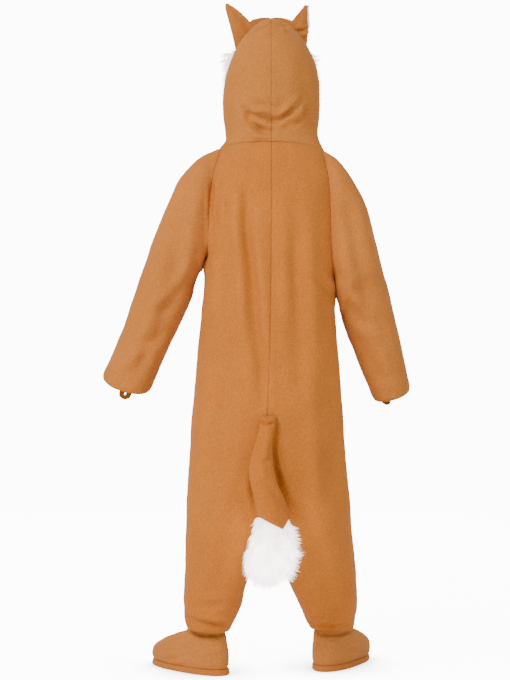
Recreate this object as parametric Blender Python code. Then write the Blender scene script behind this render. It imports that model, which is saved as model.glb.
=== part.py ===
"""Fox costume: a child's hooded jumpsuit of brushed cloth, worn and hanging in its worn shape.

The front faces -Y and +Z is up. The tables are in millimetres: heights are above the floor, X is positive
towards the wearer's left. The whole costume hangs from an empty at the point where the shoulders hold it.
"""

import math

import bpy
import numpy as np

# Sizes in metres
WALL = 0.002
SEAM_GAP = 0.0003
HOLD_HEIGHT = 1.045
MM = 0.001

# Rows of the body from the neck to the hem. The rows down to the armpit end at the raglan seam.
RAGLAN_ROWS = 9
# Rounds of averaging that give three pieces one normal where their seams cross
SEAM_PASSES = 6
BODY_COLUMNS = 8
# Roundness of the body, sleeve and leg sections: 2 is an ellipse, more is squarer
ROUND = 2.25

# Middle seam and side seam of a panel, and the angles at which its section starts and ends there
LEFT_BODY = [
    # key, mid z, mid x, start, side z, side x, end angle, y
    (0, 1056, -1, 0, 1048, 99, 72, 4),
    (1, 1039, -1, 0, 1026, 106, 67, 2),
    (2, 1017, -1, 0, 1004, 112, 62, 0),
    (3, 989, -1, 0, 976, 118, 59, 0),
    (4, 952, -1, 0, 938, 122, 58, 0),
    (5, 908, -1, 0, 896, 123, 60, 0),
    (6, 868, 0, 0, 858, 125, 65, 0),
    (7, 842, 0, 0, 834, 128, 79, 0),
    (8, 822, 0, 0, 814, 136, 90, 0),
    (9, 790, 0, 0, 784, 134, 90, 0),
    (10, 726, 1, 0, 722, 139, 90, 0),
    (11, 666, 2, 0, 664, 144, 90, 0),
    (12, 586, 5, 0, 586, 152, 90, 0),
    (13, 506, 7, 0, 506, 160, 90, 0),
    (14, 426, 8, -4, 426, 165, 90, 0),
    (15, 346, 8, -22, 346, 169, 90, 0),
    (16, 292, 8, -50, 286, 171, 90, -2),
    (17, 262, 8.4, -90, 246, 172, 90, -4),
    (18, 226, 32, -90, 216, 172, 90, -6),
    (19, 182, 48, -90, 180, 173, 90, -8),
    (20, 142, 58, -90, 144, 174, 90, -8),
    (21, 110, 70, -90, 116, 173, 90, -8),
    (22, 84, 84, -90, 96, 170, 90, -8),
]
RIGHT_BODY = [
    # key, mid z, mid x, start, side z, side x, end angle, y
    (0, 1056, -1, 0, 1042, -102, 72, 4),
    (1, 1039, -1, 0, 1021, -106, 67, 2),
    (2, 1017, -1, 0, 996, -111, 62, 0),
    (3, 989, -1, 0, 964, -115, 59, 0),
    (4, 952, -1, 0, 920, -117, 58, 0),
    (5, 908, -1, 0, 872, -118, 60, 0),
    (6, 868, 0, 0, 824, -121, 65, 0),
    (7, 842, 0, 0, 778, -127, 78, 0),
    (8, 822, 0, 0, 750, -130, 90, 0),
    (9, 790, 0, 0, 728, -128, 90, 0),
    (10, 726, 1, 0, 688, -130, 90, 0),
    (11, 666, 2, 0, 646, -135, 90, 0),
    (12, 586, 5, 0, 582, -140, 90, 0),
    (13, 506, 7, 0, 506, -144, 90, 0),
    (14, 426, 8, -4, 426, -150, 90, 0),
    (15, 346, 8, -22, 346, -158, 90, -4),
    (16, 292, 8, -50, 286, -162, 90, -10),
    (17, 262, 7.6, -90, 246, -167, 90, -16),
    (18, 226, -14, -90, 216, -170, 90, -24),
    (19, 182, -34, -90, 180, -173, 90, -34),
    (20, 142, -52, -90, 144, -175, 90, -44),
    (21, 110, -66, -90, 114, -172, 90, -52),
    (22, 84, -78, -90, 84, -168, 90, -60),
]
# Depth of the back and of the front from the mid depth, and how much lower the front's middle seam runs
BODY_DEPTH = [
    # key, back, front, front drop
    (0, 62, 66, 34),
    (1, 72, 76, 32),
    (2, 84, 88, 28),
    (3, 95, 99, 22),
    (4, 102, 105, 14),
    (5, 105, 107, 8),
    (6, 107, 107, 4),
    (8, 107, 107, 0),
    (10, 104, 110, 0),
    (12, 108, 112, 0),
    (13, 116, 110, 0),
    (14, 119, 107, 0),
    (15, 116, 103, 0),
    (16, 108, 98, 0),
    (17, 98, 92, 0),
    (19, 84, 80, 0),
    (20, 76, 72, 0),
    (21, 68, 66, 0),
    (22, 60, 62, 0),
]
# Troughs in the body, in millimetres deep: side, row, turn, rows wide, turns wide, depth
BODY_FOLDS = [
    (1, 4.5, 0.20, 3.5, 0.12, 4),
    (1, 9.5, 0.14, 3.0, 0.10, 5),
    (1, 14.5, 0.55, 2.6, 0.14, 5),
    (1, 20.5, 0.55, 1.2, 0.20, 4),
    (-1, 8.0, 0.16, 4.5, 0.10, 4),
    (-1, 13.5, 0.70, 2.2, 0.12, 5),
    (-1, 19.5, 0.45, 1.5, 0.18, 4),
]

# Sleeve sections: outer edge x and z, inner edge x and z, half depth, mid depth, drop of the back edge
LEFT_SLEEVE = [
    # key, outer x, outer z, inner x, inner z, depth, y, drop
    (1, 142, 1031, 137, 805, 67, 0, 0),
    (2, 182, 990, 142, 801, 70, -1, 0),
    (3, 212, 926, 147, 791, 70, -5, 0),
    (4, 237, 864, 153, 775, 68, -12, 0),
    (5, 256, 812, 161, 748, 65, -21, 0),
    (6, 279, 748, 177, 712, 61, -32, 2),
    (7, 300, 690, 195, 672, 57, -44, 6),
    (8, 320, 640, 218, 626, 53, -54, 12),
    (9, 341, 595, 242, 570, 48, -62, 22),
]
RIGHT_SLEEVE = [
    # key, outer x, outer z, inner x, inner z, depth, y, drop
    (1, -136, 1022, -132, 745, 68, 0, 0),
    (2, -166, 982, -134, 740, 72, -1, 0),
    (3, -190, 938, -136, 733, 73, -5, 0),
    (4, -206, 880, -138, 725, 72, -12, 0),
    (5, -221, 818, -140, 719, 69, -24, 0),
    (6, -237, 766, -146, 698, 65, -34, 0),
    (7, -251, 710, -157, 668, 60, -45, 4),
    (8, -265, 652, -173, 632, 55, -55, 10),
    (9, -283, 570, -206, 550, 46, -66, 16),
]
# Finger loop at each cuff: the two columns of the sleeve that it hangs from
LOOP_COLUMNS = {1: (4, 5), -1: (5, 6)}
# Reach of the loop's straight sides below the cuff, and depth of the band's middle under the wall
LOOP_HANG = {1: (6, 5.2), -1: (1, 5.8)}
# Start inside the cuff, half width and half thickness of the band
LOOP = (20, 4.6, 1)

# Hood rings from the neck to the face opening: chin y and z, top y and z, half width left and right
HOOD_RINGS = [
    # key, chin y, chin z, top y, top z, left, right, round
    (0, -62, 1022, 66, 1056, 102, 106, 2.25),
    (1, -66, 1034, 72, 1086, 92, 95, 2.2),
    (2, -70, 1038, 88, 1124, 92, 92, 2.1),
    (3, -73, 1042, 106, 1172, 95, 94, 2.1),
    (4, -76, 1047, 110, 1222, 96, 96, 2.05),
    (5, -78, 1052, 88, 1270, 94, 95, 1.95),
    (6, -80, 1057, 44, 1300, 90, 93, 1.8),
    (7, -82, 1062, -8, 1307, 88, 90, 1.75),
    (8, -84, 1067, -56, 1304, 85, 87, 1.85),
    (9, -86, 1072, -94, 1296, 82, 84, 2.1),
]
HOOD_MIDDLE = -1
# Hollow across the nape and the roll above it: key, turn, key wide, turn wide, depth
NAPE_FOLDS = [
    (1.5, 0.02, 0.55, 0.20, 5),
    (2.3, 0.05, 0.45, 0.22, -3),
    (3.0, 0.22, 0.60, 0.12, 3),
]
# Brim: angle from the crown, reach forwards, and rise outwards from the face opening
BRIM = [
    # angle, forwards, rise
    (0, 14, 32),
    (12, 14, 34),
    (22, 14, 34),
    (33, 14, 24),
    (45, 14, 14),
    (80, 14, 7),
    (120, 13, 7),
    (150, 12, 10),
    (180, 10, 10),
]
# Rows of the brim as shares of its reach and its rise
BRIM_ROWS = [
    # forwards, outwards
    (0.03, 0),
    (0.5, 0.06),
    (0.85, 0.3),
    (1, 1),
]
# Cheek fur along the brim: first and last angle, out from the opening, half thickness, half width
CHEEK_FUR = (62, 140, 7, 5, 7)
FUR_SETBACK = 0.35
FUR_RINGS = 9
FUR_SIDES = 8
# Share of a ring's spacing by which the fur runs on past its first and last ring
FUR_END = 0.8

# Ears: edges in x and z from the base to the tip, share up the ear first
EARS = {
    1: [
        # share, inner x, inner z, outer x, outer z
        (0.0, 33, 1299, 71, 1262),
        (0.3, 46, 1312, 79, 1290),
        (0.6, 62, 1327, 88, 1317),
        (0.85, 77, 1338, 93, 1335),
        (1.0, 87, 1344, 92, 1342),
    ],
    -1: [
        (0.0, -34, 1300, -72, 1266),
        (0.3, -44, 1312, -75, 1289),
        (0.6, -56, 1326, -74, 1313),
        (0.85, -65, 1337, -73.5, 1332),
        (1.0, -68, 1341, -73, 1339),
    ],
}
EAR_RING = 7.3
EAR_CUP = 7
# Height of the base over the hood, and the white front layer's start and reach
EAR_LIFT = 2.4
EAR_FRONT_START = 0.45
EAR_FRONT_REACH = {1: 0.5, -1: 5}
EAR_TIP_Y = -22
EAR_ROWS = 8
EAR_COLUMNS = 5

# Tail sections: z, left x, right x, half depth, mid y
TAIL = [
    # key, z, left, right, depth, y
    (0, 519, 21, -7, 5, 120.2),
    (1, 508, 22, -8, 9, 125.4),
    (2, 473, 30, -1, 14, 133.6),
    (3, 434, 42, -2, 18, 140.5),
    (4, 404, 44, -8, 22, 147),
    (5, 388, 41, -12, 24, 149),
    (6, 363, 35, -23, 27, 151),
    (7, 330, 28, -36, 28, 152),
]
# The V in which the tail's cloth ends: x of its point, its depth, its rise and the run of that rise
TAIL_POINT = 22
TAIL_V_DEPTH = 26
TAIL_V_RISE = 24
TAIL_V_RUN = 50
TAIL_V_RIGHT = 0.3
TIP = [
    # key, z, left, right, depth, y
    (1, 313, 39, -49, 35, 153),
    (2, 291, 46, -56, 40, 156),
    (3, 265, 55, -60, 43, 158),
    (4, 240, 58, -57, 42, 158),
    (5, 216, 51, -50, 34, 157),
    (6, 201, 32, -32, 19, 156),
]
TAIL_SIDES = 16

# Boots: middle of the ankle x and y, and the turn of the toe outwards in degrees
FEET = {1: (127, -8, 38), -1: (-122, -62, 22)}
ANKLE_FROM_HEEL = 54
BOOT = [
    # key, z, back, front, half width
    (0, 12.3, 0, 219, 43),
    (1, 24, -2, 222, 46),
    (2, 42, 0, 214, 46),
    (3, 58, 4, 184, 43),
    (4, 72, 9, 138, 39),
    (5, 85, 13, 100, 33),
    (6, 108, 14, 92, 32),
]
SOLE = [
    # key, z, back, front, half width
    (0, 0, 0, 219, 42),
    (1, 2.5, -2.5, 222.5, 45.5),
    (2, 9, -2, 222, 45),
    (3, 12, -0.5, 220, 43.8),
]
BOOT_SIDES = 20


def read_table(rows, keys):
    """Values of a table's columns at the keys, by smooth curves through its rows."""
    table = np.array(rows, float)
    known = table[:, 0]
    values = table[:, 1:]
    slopes = np.gradient(values, known, axis=0)
    keys = np.atleast_1d(np.array(keys, float))
    low = np.clip(np.searchsorted(known, keys, side="right") - 1, 0, len(known) - 2)
    width = (known[low + 1] - known[low])[:, None]
    t = (keys - known[low])[:, None] / width
    start = (2 * t**3 - 3 * t**2 + 1) * values[low] + (t**3 - 2 * t**2 + t) * width * slopes[low]
    end = (3 * t**2 - 2 * t**3) * values[low + 1] + (t**3 - t**2) * width * slopes[low + 1]
    return start + end


def power(value, exponent):
    """A power that keeps the sign."""
    return np.sign(value) * np.abs(value) ** exponent


def bump(offset, width):
    """A smooth hump of height 1 at offset 0."""
    return np.exp(-((offset / width) ** 2))


def grid_normals(points, wrap=False):
    """Unit normals of a grid of points, from its differences along rows and columns."""
    along = np.gradient(points, axis=0)
    if wrap:
        across = (np.roll(points, -1, axis=1) - np.roll(points, 1, axis=1)) / 2
    else:
        across = np.gradient(points, axis=1)
    normals = np.cross(across, along)
    return normals / np.linalg.norm(normals, axis=2)[:, :, None]


def body_grid(side, back):
    """Points of one body panel: rows from neck to hem, columns from its middle seam to its side seam."""
    rows = LEFT_BODY if side > 0 else RIGHT_BODY
    keys = np.arange(len(rows))
    table = read_table(rows, keys)
    depths = read_table(BODY_DEPTH, keys)
    grid = np.zeros((len(keys), BODY_COLUMNS, 3))
    for i in keys:
        mid_z, mid_x, first, side_z, side_x, last, mid_y = table[i]
        back_depth, front_depth, drop = depths[i]
        depth = back_depth if back else -front_depth
        middle = mid_z if back else mid_z - drop
        share = np.linspace(0, 1, BODY_COLUMNS)
        angle = np.radians(first + (last - first) * share)
        reach = power(np.sin(angle), 2 / ROUND)
        half = (side_x - mid_x) / (reach[-1] - reach[0])
        x = mid_x + half * (reach - reach[0])
        y = mid_y + depth * power(np.cos(angle), 2 / ROUND)
        z = middle + (side_z - middle) * share**2
        grid[i] = np.stack([x, y, z], axis=1)
    grid *= MM
    if back:
        fold_body(grid, side)
    return grid


def body_normals(grid, side, back):
    """Normals of a body panel. Along its seams they are those of the round section, so that panels meet squarely."""
    normals = grid_normals(grid) * (side if back else -side)
    rows = np.array(LEFT_BODY if side > 0 else RIGHT_BODY, float)
    for column, angles in ((0, rows[:, 3]), (-1, rows[:, 6])):
        turn = np.radians(angles)
        flat = 2 - 2 / ROUND
        across = side * power(np.sin(turn), flat)
        depth = power(np.cos(turn), flat) * (1 if back else -1)
        radial = np.stack([across, depth, np.zeros(len(turn))], axis=1)
        along = np.gradient(grid[:, column], axis=0)
        along /= np.linalg.norm(along, axis=1)[:, None]
        radial -= along * np.sum(radial * along, axis=1)[:, None]
        normals[:, column] = radial / np.linalg.norm(radial, axis=1)[:, None]
    return normals


def fold_body(grid, side):
    """Presses the soft folds into a back panel, fading to nothing at its seams."""
    rows, columns = grid.shape[:2]
    normals = grid_normals(grid) * side
    row, turn = np.meshgrid(np.arange(rows), np.linspace(0, 1, columns), indexing="ij")
    deep = np.zeros((rows, columns))
    for fold_side, at_row, at_turn, rows_wide, turn_wide, depth in BODY_FOLDS:
        if fold_side == side:
            deep += depth * bump(row - at_row, rows_wide) * bump(turn - at_turn, turn_wide)
    deep *= np.sin(np.pi * turn) ** 0.5 * np.clip(row / 2, 0, 1)
    grid -= normals * deep[:, :, None] * MM


def neck_point(side, angle):
    """A point of the neck seam: angle 0 is the middle of the back, 180 the middle of the front."""
    mid_z, mid_x, _, side_z, side_x, last, mid_y = (LEFT_BODY if side > 0 else RIGHT_BODY)[0][1:]
    back_depth, front_depth, drop = BODY_DEPTH[0][1:]
    half = (side_x - mid_x) / math.sin(math.radians(last)) ** (2 / ROUND)
    turn = math.radians(angle)
    depth = back_depth if angle < 90 else front_depth
    middle = mid_z if angle < 90 else mid_z - drop
    share = min(min(angle, 180 - angle) / last, 1)
    x = mid_x + half * abs(math.sin(turn)) ** (2 / ROUND)
    y = mid_y + depth * power(math.cos(turn), 2 / ROUND)
    return np.array([x, y, middle + (side_z - middle) * share**2]) * MM


def sleeve_grid(side, back, front):
    """Rings of a sleeve, from the raglan seam to the cuff. Ring 0 runs along the body panels' edges."""
    rows = LEFT_SLEEVE if side > 0 else RIGHT_SLEEVE
    seam = [neck_point(side, 90)]
    seam += [back[i, -1] for i in range(RAGLAN_ROWS)]
    seam += [front[i, -1] for i in range(RAGLAN_ROWS - 2, -1, -1)]
    around = len(seam)
    turn = np.radians(np.arange(around) * 360 / around)
    rings = [np.array(seam)]
    for outer_x, outer_z, inner_x, inner_z, depth, mid_y, drop in read_table(rows, [row[0] for row in rows]):
        c = power(np.cos(turn), 2 / ROUND)
        s = power(np.sin(turn), 2 / ROUND)
        x = (outer_x + inner_x) / 2 + (outer_x - inner_x) / 2 * c
        z = (outer_z + inner_z) / 2 + (outer_z - inner_z) / 2 * c - drop * s
        rings.append(np.stack([x, mid_y + depth * s, z], axis=1) * MM)
    return np.array(rings)


def hood_grid(side):
    """Rings of one hood half, from the neck seam to the face opening, from the centre seam to the chin."""
    last = LEFT_BODY[0][6]
    turns = np.linspace(0, last, BODY_COLUMNS)
    turns = np.concatenate([turns, [90], 180 - turns[::-1]])
    grid = [[neck_point(side, t) for t in turns]]
    turn = np.radians(turns)
    for chin_y, chin_z, top_y, top_z, left, right, curve in read_table(HOOD_RINGS, range(1, len(HOOD_RINGS))):
        c = power(np.cos(turn), 2 / curve)
        s = power(np.sin(turn), 2 / curve)
        x = HOOD_MIDDLE + side * (left if side > 0 else right) * s
        y = (top_y + chin_y) / 2 + (top_y - chin_y) / 2 * c
        z = (top_z + chin_z) / 2 + (top_z - chin_z) / 2 * c
        grid.append(np.stack([x, y, z], axis=1) * MM)
    grid = np.array(grid)
    ring, turn = np.meshgrid(np.arange(len(grid)), turns / 180, indexing="ij")
    deep = np.zeros(ring.shape)
    for at_ring, at_turn, rings_wide, turn_wide, depth in NAPE_FOLDS:
        deep += depth * bump(ring - at_ring, rings_wide) * bump(turn - at_turn, turn_wide)
    grid += grid_normals(grid) * side * deep[:, :, None] * MM
    return grid


def shrink_edges(points, wrap, gap):
    """Pulls the border of a grid inwards by the gap, along its rows and columns."""
    moved = points.copy()
    pairs = [((0, slice(None)), (1, slice(None))), ((-1, slice(None)), (-2, slice(None)))]
    if not wrap:
        pairs += [((slice(None), 0), (slice(None), 1)), ((slice(None), -1), (slice(None), -2))]
    for edge, inside in pairs:
        step = points[inside] - points[edge]
        moved[edge] += step / np.linalg.norm(step, axis=1)[:, None] * gap
    return moved


def sheet_mesh(outer, inner, wrap):
    """Vertices and faces of a closed sheet between two grids of points."""
    rows, columns = outer.shape[:2]
    count = rows * columns
    vertices = np.concatenate([outer.reshape(-1, 3), inner.reshape(-1, 3)])
    faces = []
    spans = columns if wrap else columns - 1
    for i in range(rows - 1):
        for j in range(spans):
            k = (j + 1) % columns
            a, b = i * columns + j, i * columns + k
            c, d = (i + 1) * columns + k, (i + 1) * columns + j
            short = np.linalg.norm(vertices[a] - vertices[c]) < np.linalg.norm(vertices[b] - vertices[d])
            for face in ((a, b, c), (a, c, d)) if short else ((a, b, d), (b, c, d)):
                faces.append(face)
                faces.append(tuple(count + v for v in reversed(face)))
    border = []
    for j in range(spans):
        k = (j + 1) % columns
        border.append((k, j))
        border.append(((rows - 1) * columns + j, (rows - 1) * columns + k))
    if not wrap:
        for i in range(rows - 1):
            border.append((i * columns, (i + 1) * columns))
            border.append(((i + 2) * columns - 1, (i + 1) * columns - 1))
    for a, b in border:
        faces.append((a, b, count + b, count + a))
    return vertices, faces


def srgb(code):
    """Linear colour of a hex code."""
    values = [int(code[i : i + 2], 16) / 255 for i in (0, 2, 4)]
    return tuple(((v + 0.055) / 1.055) ** 2.4 for v in values) + (1,)


def material(name, code, roughness):
    made = bpy.data.materials.new(name)
    made.use_nodes = True
    shader = made.node_tree.nodes["Principled BSDF"]
    shader.inputs["Base Color"].default_value = srgb(code)
    shader.inputs["Roughness"].default_value = roughness
    shader.inputs["Metallic"].default_value = 0
    return made


def add_piece(name, vertices, faces, code, roughness=0.95):
    """Makes one piece with its own material, its faces turned outwards."""
    mesh = bpy.data.meshes.new(name)
    mesh.from_pydata([tuple(v) for v in vertices], [], faces)
    points = np.array(vertices)
    volume = 0
    for face in faces:
        for b, c in zip(face[1:-1], face[2:]):
            volume += np.dot(points[face[0]], np.cross(points[b], points[c]))
    if volume < 0:
        mesh.flip_normals()
    mesh.materials.append(material(name, code, roughness))
    piece = bpy.data.objects.new(name, mesh)
    bpy.context.scene.collection.objects.link(piece)
    piece.parent = HOLD
    return piece


def add_sheet(name, grid, normals, code, wrap=False):
    """A cloth wall whose outer face is the grid."""
    outer = shrink_edges(grid, wrap, SEAM_GAP / 2)
    inner = shrink_edges(grid - normals * WALL, wrap, SEAM_GAP / 2)
    vertices, faces = sheet_mesh(outer, inner, wrap)
    return add_piece(name, vertices, faces, code)


def add_solid(name, rings, code, roughness=0.95):
    """A filled piece through closed rings, with a point at the middle of each end."""
    rings = np.array(rings)
    count = rings.shape[1]
    vertices = list(rings.reshape(-1, 3)) + [rings[0].mean(axis=0), rings[-1].mean(axis=0)]
    top = len(vertices) - 2
    faces = []
    for i in range(len(rings) - 1):
        for j in range(count):
            k = (j + 1) % count
            faces.append((i * count + j, i * count + k, (i + 1) * count + k, (i + 1) * count + j))
    last = (len(rings) - 1) * count
    for j in range(count):
        k = (j + 1) % count
        faces.append((k, j, top))
        faces.append((last + j, last + k, top + 1))
    return add_piece(name, vertices, faces, code, roughness)


def round_ring(row, sides):
    """A level ring from one row of the tail's table."""
    z, left, right, depth, mid_y = row
    turn = np.radians(np.arange(sides) * 360 / sides)
    x = (left + right) / 2 + (left - right) / 2 * np.cos(turn)
    y = mid_y + depth * np.sin(turn)
    return np.stack([x, y, np.full(sides, z)], axis=1)


def tail_edge(sides):
    """The tail's lower edge: a V at the back with its point towards the right."""
    ring = round_ring(TAIL[-1][1:], sides)
    middle_y = TAIL[-1][5]
    lean = np.clip((ring[:, 0] + TAIL_POINT) / -TAIL_V_RUN, -1, TAIL_V_RIGHT)
    ring[:, 2] -= (TAIL_V_DEPTH - TAIL_V_RISE * np.abs(lean)) * (ring[:, 1] > middle_y)
    return ring


def foot_ring(side, row, sides):
    """A level ring round the foot, egg-shaped with its wide end at the toes."""
    z, back, front, half = row
    ankle_x, ankle_y, turn_out = FEET[side]
    turn = np.radians(np.arange(sides) * 360 / sides)
    c = power(np.cos(turn), 2 / ROUND)
    s = power(np.sin(turn), 2 / ROUND)
    length = (back + front) / 2 - ANKLE_FROM_HEEL + (front - back) / 2 * c
    across = half * s * (1 + 0.1 * c)
    out = math.radians(turn_out)
    x = ankle_x + side * (length * math.sin(out) + across * math.cos(out))
    y = ankle_y - length * math.cos(out) + across * math.sin(out)
    return np.stack([x, y, np.full(sides, z)], axis=1)


def add_loop(name, side, sleeve, normals):
    """A flat band that hangs as a U from inside the back of the cuff."""
    below, deep = LOOP_HANG[side]
    inside, wide, thick = LOOP
    path = []
    for column, shares in zip(LOOP_COLUMNS[side], ((0, 0.5, 1), (1, 0.5, 0))):
        edge = sleeve[-1, column]
        up = sleeve[-2, column] - edge
        up /= np.linalg.norm(up)
        hang = edge - normals[-1, column] * deep * MM
        path += [hang + up * (inside - (inside + below) * share) * MM for share in shares]
    path = np.array(path)
    down = path[2] - path[1]
    down /= np.linalg.norm(down)
    middle = (path[2] + path[3]) / 2 + down * np.linalg.norm(path[3] - path[2]) / 2
    path = np.concatenate([path[:3], [middle], path[3:]])
    flat = normals[-1, LOOP_COLUMNS[side][0]] + normals[-1, LOOP_COLUMNS[side][1]]
    flat /= np.linalg.norm(flat)
    along = np.gradient(path, axis=0)
    across = np.cross(along, flat)
    across /= np.linalg.norm(across, axis=1)[:, None]
    corners = ((1, 1), (-1, 1), (-1, -1), (1, -1))
    rings = []
    for point, sideways in zip(path, across):
        rings.append([point + (a * wide * sideways + b * thick * flat) * MM for a, b in corners])
    add_solid(name, rings, "a9682f")


def brim_grid(left_hood, right_hood):
    """The brim from the left of the chin over the crown to the right: rows from the opening to its free edge."""
    last = LEFT_BODY[0][6]
    turns = np.linspace(0, last, BODY_COLUMNS)
    turns = np.concatenate([turns, [90], 180 - turns[::-1]])
    path = np.concatenate([left_hood[-1][::-1], right_hood[-1][1:]])
    angles = np.concatenate([turns[::-1], turns[1:]])
    middle = (path[0] + path[len(turns) - 1]) / 2
    out = path - middle
    out[:, 1] = 0
    out /= np.linalg.norm(out, axis=1)[:, None]
    reach = read_table(BRIM, angles) * MM
    ahead = np.array([0, -1, 0])
    rows = []
    for share_ahead, share_out in BRIM_ROWS:
        rows.append(path + ahead * reach[:, :1] * share_ahead + out * reach[:, 1:] * share_out)
    return np.array(rows)


def add_cheek_fur(name, side, brim):
    """A rope of fur along the front of the brim."""
    first, last, out_by, thick, wide = CHEEK_FUR
    count = brim.shape[1]
    middle = (brim[0, 0] + brim[0, count // 2]) / 2
    half = brim[:, : count // 2 + 1][:, ::-1] if side > 0 else brim[:, count // 2 :]
    angles = np.linspace(0, 180, half.shape[1])
    pick = np.linspace(first, last, FUR_RINGS)
    spine = np.stack([np.interp(pick, angles, half[0, :, k]) for k in range(3)], axis=1)
    front = np.interp(pick, angles, half[-1, :, 1])
    out = spine - middle
    out[:, 1] = 0
    out /= np.linalg.norm(out, axis=1)[:, None]
    turn = np.radians(np.arange(FUR_SIDES) * 360 / FUR_SIDES)
    rings = []
    for k in range(FUR_RINGS):
        grow = math.sin(math.pi * (k + FUR_END) / (FUR_RINGS - 1 + 2 * FUR_END)) ** 0.5
        centre = spine[k] + out[k] * out_by * MM
        centre[1] = front[k] - (thick + FUR_SETBACK) * MM
        ring = centre + out[k] * np.cos(turn)[:, None] * wide * MM * grow
        ring[:, 1] += np.sin(turn) * thick * MM * grow
        rings.append(ring)
    add_solid(name, rings, "f3f0ea", 1.0)


def ear_grid(side, hood, lift):
    """The back layer of an ear: rows from the base, held over the hood by the lift, to the tip."""
    steps = np.linspace(0, 1, EAR_ROWS)
    edges = read_table(EARS[side], steps)
    share = np.linspace(0, 1, EAR_COLUMNS)
    grid = np.zeros((len(steps), EAR_COLUMNS, 3))
    low = int(EAR_RING)
    ring = (hood[low] + (hood[low + 1] - hood[low]) * (EAR_RING - low)) / MM
    ring = ring[: len(ring) // 2]
    for i, (inner_x, inner_z, outer_x, outer_z) in enumerate(edges):
        x = inner_x + (outer_x - inner_x) * share
        z = inner_z + (outer_z - inner_z) * share
        cup = EAR_CUP * np.sin(np.pi * share) * (1 - steps[i] ** 2)
        grid[i] = np.stack([x, cup * steps[i] ** 0.5, z], axis=1)
    base = np.abs(grid[0, :, 0])
    base_y = np.interp(base, np.abs(ring[:, 0]), ring[:, 1])
    base_z = np.interp(base, np.abs(ring[:, 0]), ring[:, 2]) + lift
    fade = (1 - steps)[:, None]
    grid[:, :, 1] += base_y * fade + EAR_TIP_Y * (1 - fade)
    grid[:, :, 2] += (base_z - grid[0, :, 2]) * fade**2
    return grid * MM


def ear_front(side, ear, normals):
    """The white layer in front of an ear: a little wider at the outer edge, and clear of the hood."""
    front = ear - normals * (WALL + 2 * SEAM_GAP)
    across = np.gradient(front, axis=1)
    across /= np.linalg.norm(across, axis=2)[:, :, None]
    share = np.linspace(0, 1, EAR_COLUMNS)[None, :, None]
    front += across * share**2 * EAR_FRONT_REACH[side] * MM
    front[0] += (front[1] - front[0]) * EAR_FRONT_START
    return front


def join_normals(first, first_part, second, second_part):
    """Gives two pieces the same normals along their seam."""
    mean = first[first_part] + second[second_part]
    mean /= np.linalg.norm(mean, axis=-1)[..., None]
    first[first_part] = mean
    second[second_part] = mean


for thing in list(bpy.data.objects):
    bpy.data.objects.remove(thing)
HOLD = bpy.data.objects.new("hold", None)
HOLD.location = (0, 0, -HOLD_HEIGHT)
bpy.context.scene.collection.objects.link(HOLD)

HOODS = {}
for side, word in ((1, "left"), (-1, "right")):
    back = body_grid(side, True)
    front = body_grid(side, False)
    sleeve = sleeve_grid(side, back, front)
    hood = hood_grid(side)
    back_normals = body_normals(back, side, True)
    front_normals = body_normals(front, side, False)
    sleeve_normals = -grid_normals(sleeve, True) * side
    hood_normals = -grid_normals(hood) * side
    hood_normals[:, [0, -1], 0] = 0
    hood_normals /= np.linalg.norm(hood_normals, axis=2)[:, :, None]
    upper = (slice(0, RAGLAN_ROWS), -1)
    neck = (0, slice(0, BODY_COLUMNS))
    for _ in range(SEAM_PASSES):
        join_normals(back_normals, upper, sleeve_normals, (0, slice(1, RAGLAN_ROWS + 1)))
        join_normals(front_normals, upper, sleeve_normals, (0, slice(None, RAGLAN_ROWS - 1, -1)))
        join_normals(back_normals, neck, hood_normals, neck)
        join_normals(front_normals, neck, hood_normals, (0, slice(None, BODY_COLUMNS, -1)))
        join_normals(sleeve_normals, (0, 0), hood_normals, (0, BODY_COLUMNS))
    add_sheet("back_" + word, back, back_normals, "c67d3f")
    add_sheet("front_" + word, front, front_normals, "c67d3f")
    add_sheet("sleeve_" + word, sleeve, sleeve_normals, "c88246", True)
    add_sheet("hood_" + word, hood, hood_normals, "c58350")
    add_loop("cuff_loop_" + word, side, sleeve, sleeve_normals)

    HOODS[side] = hood
    ear = ear_grid(side, hood, EAR_LIFT)
    ear_normals = -grid_normals(ear) * side
    add_sheet("ear_" + word, ear, ear_normals, "c3824c")
    white = ear_front(side, ear, ear_normals)
    add_sheet("ear_front_" + word, white, -grid_normals(white) * side, "f1eee8")
    boot = np.array([foot_ring(side, row[1:], BOOT_SIDES) for row in BOOT]) * MM
    boot_normals = grid_normals(boot, True) * side
    boot_normals[0] = boot_normals[0] * (1, 1, 0)
    boot_normals[0] /= np.linalg.norm(boot_normals[0], axis=1)[:, None]
    add_sheet("boot_" + word, boot, boot_normals, "bd7940", True)
    sole = [foot_ring(side, row[1:], BOOT_SIDES) * MM for row in SOLE]
    add_solid("sole_" + word, sole, "b8743a")

brim = brim_grid(HOODS[1], HOODS[-1])
brim_normals = -grid_normals(brim)
add_sheet("hood_brim", brim, brim_normals, "ad6c34")
for side, word in ((1, "left"), (-1, "right")):
    add_cheek_fur("cheek_fur_" + word, side, brim)

tail = [round_ring(row[1:], TAIL_SIDES) * MM for row in TAIL[:-1]] + [tail_edge(TAIL_SIDES) * MM]
add_solid("tail", tail, "c47c40")
tip = [tail_edge(TAIL_SIDES) * MM - (0, 0, SEAM_GAP)]
tip += [round_ring(row[1:], TAIL_SIDES) * MM for row in TIP]
add_solid("tail_tip", tip, "f5f2ec", 1.0)
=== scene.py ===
"""Fox costume: a child's hooded jumpsuit of brushed cloth in its worn shape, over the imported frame."""

import math

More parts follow.
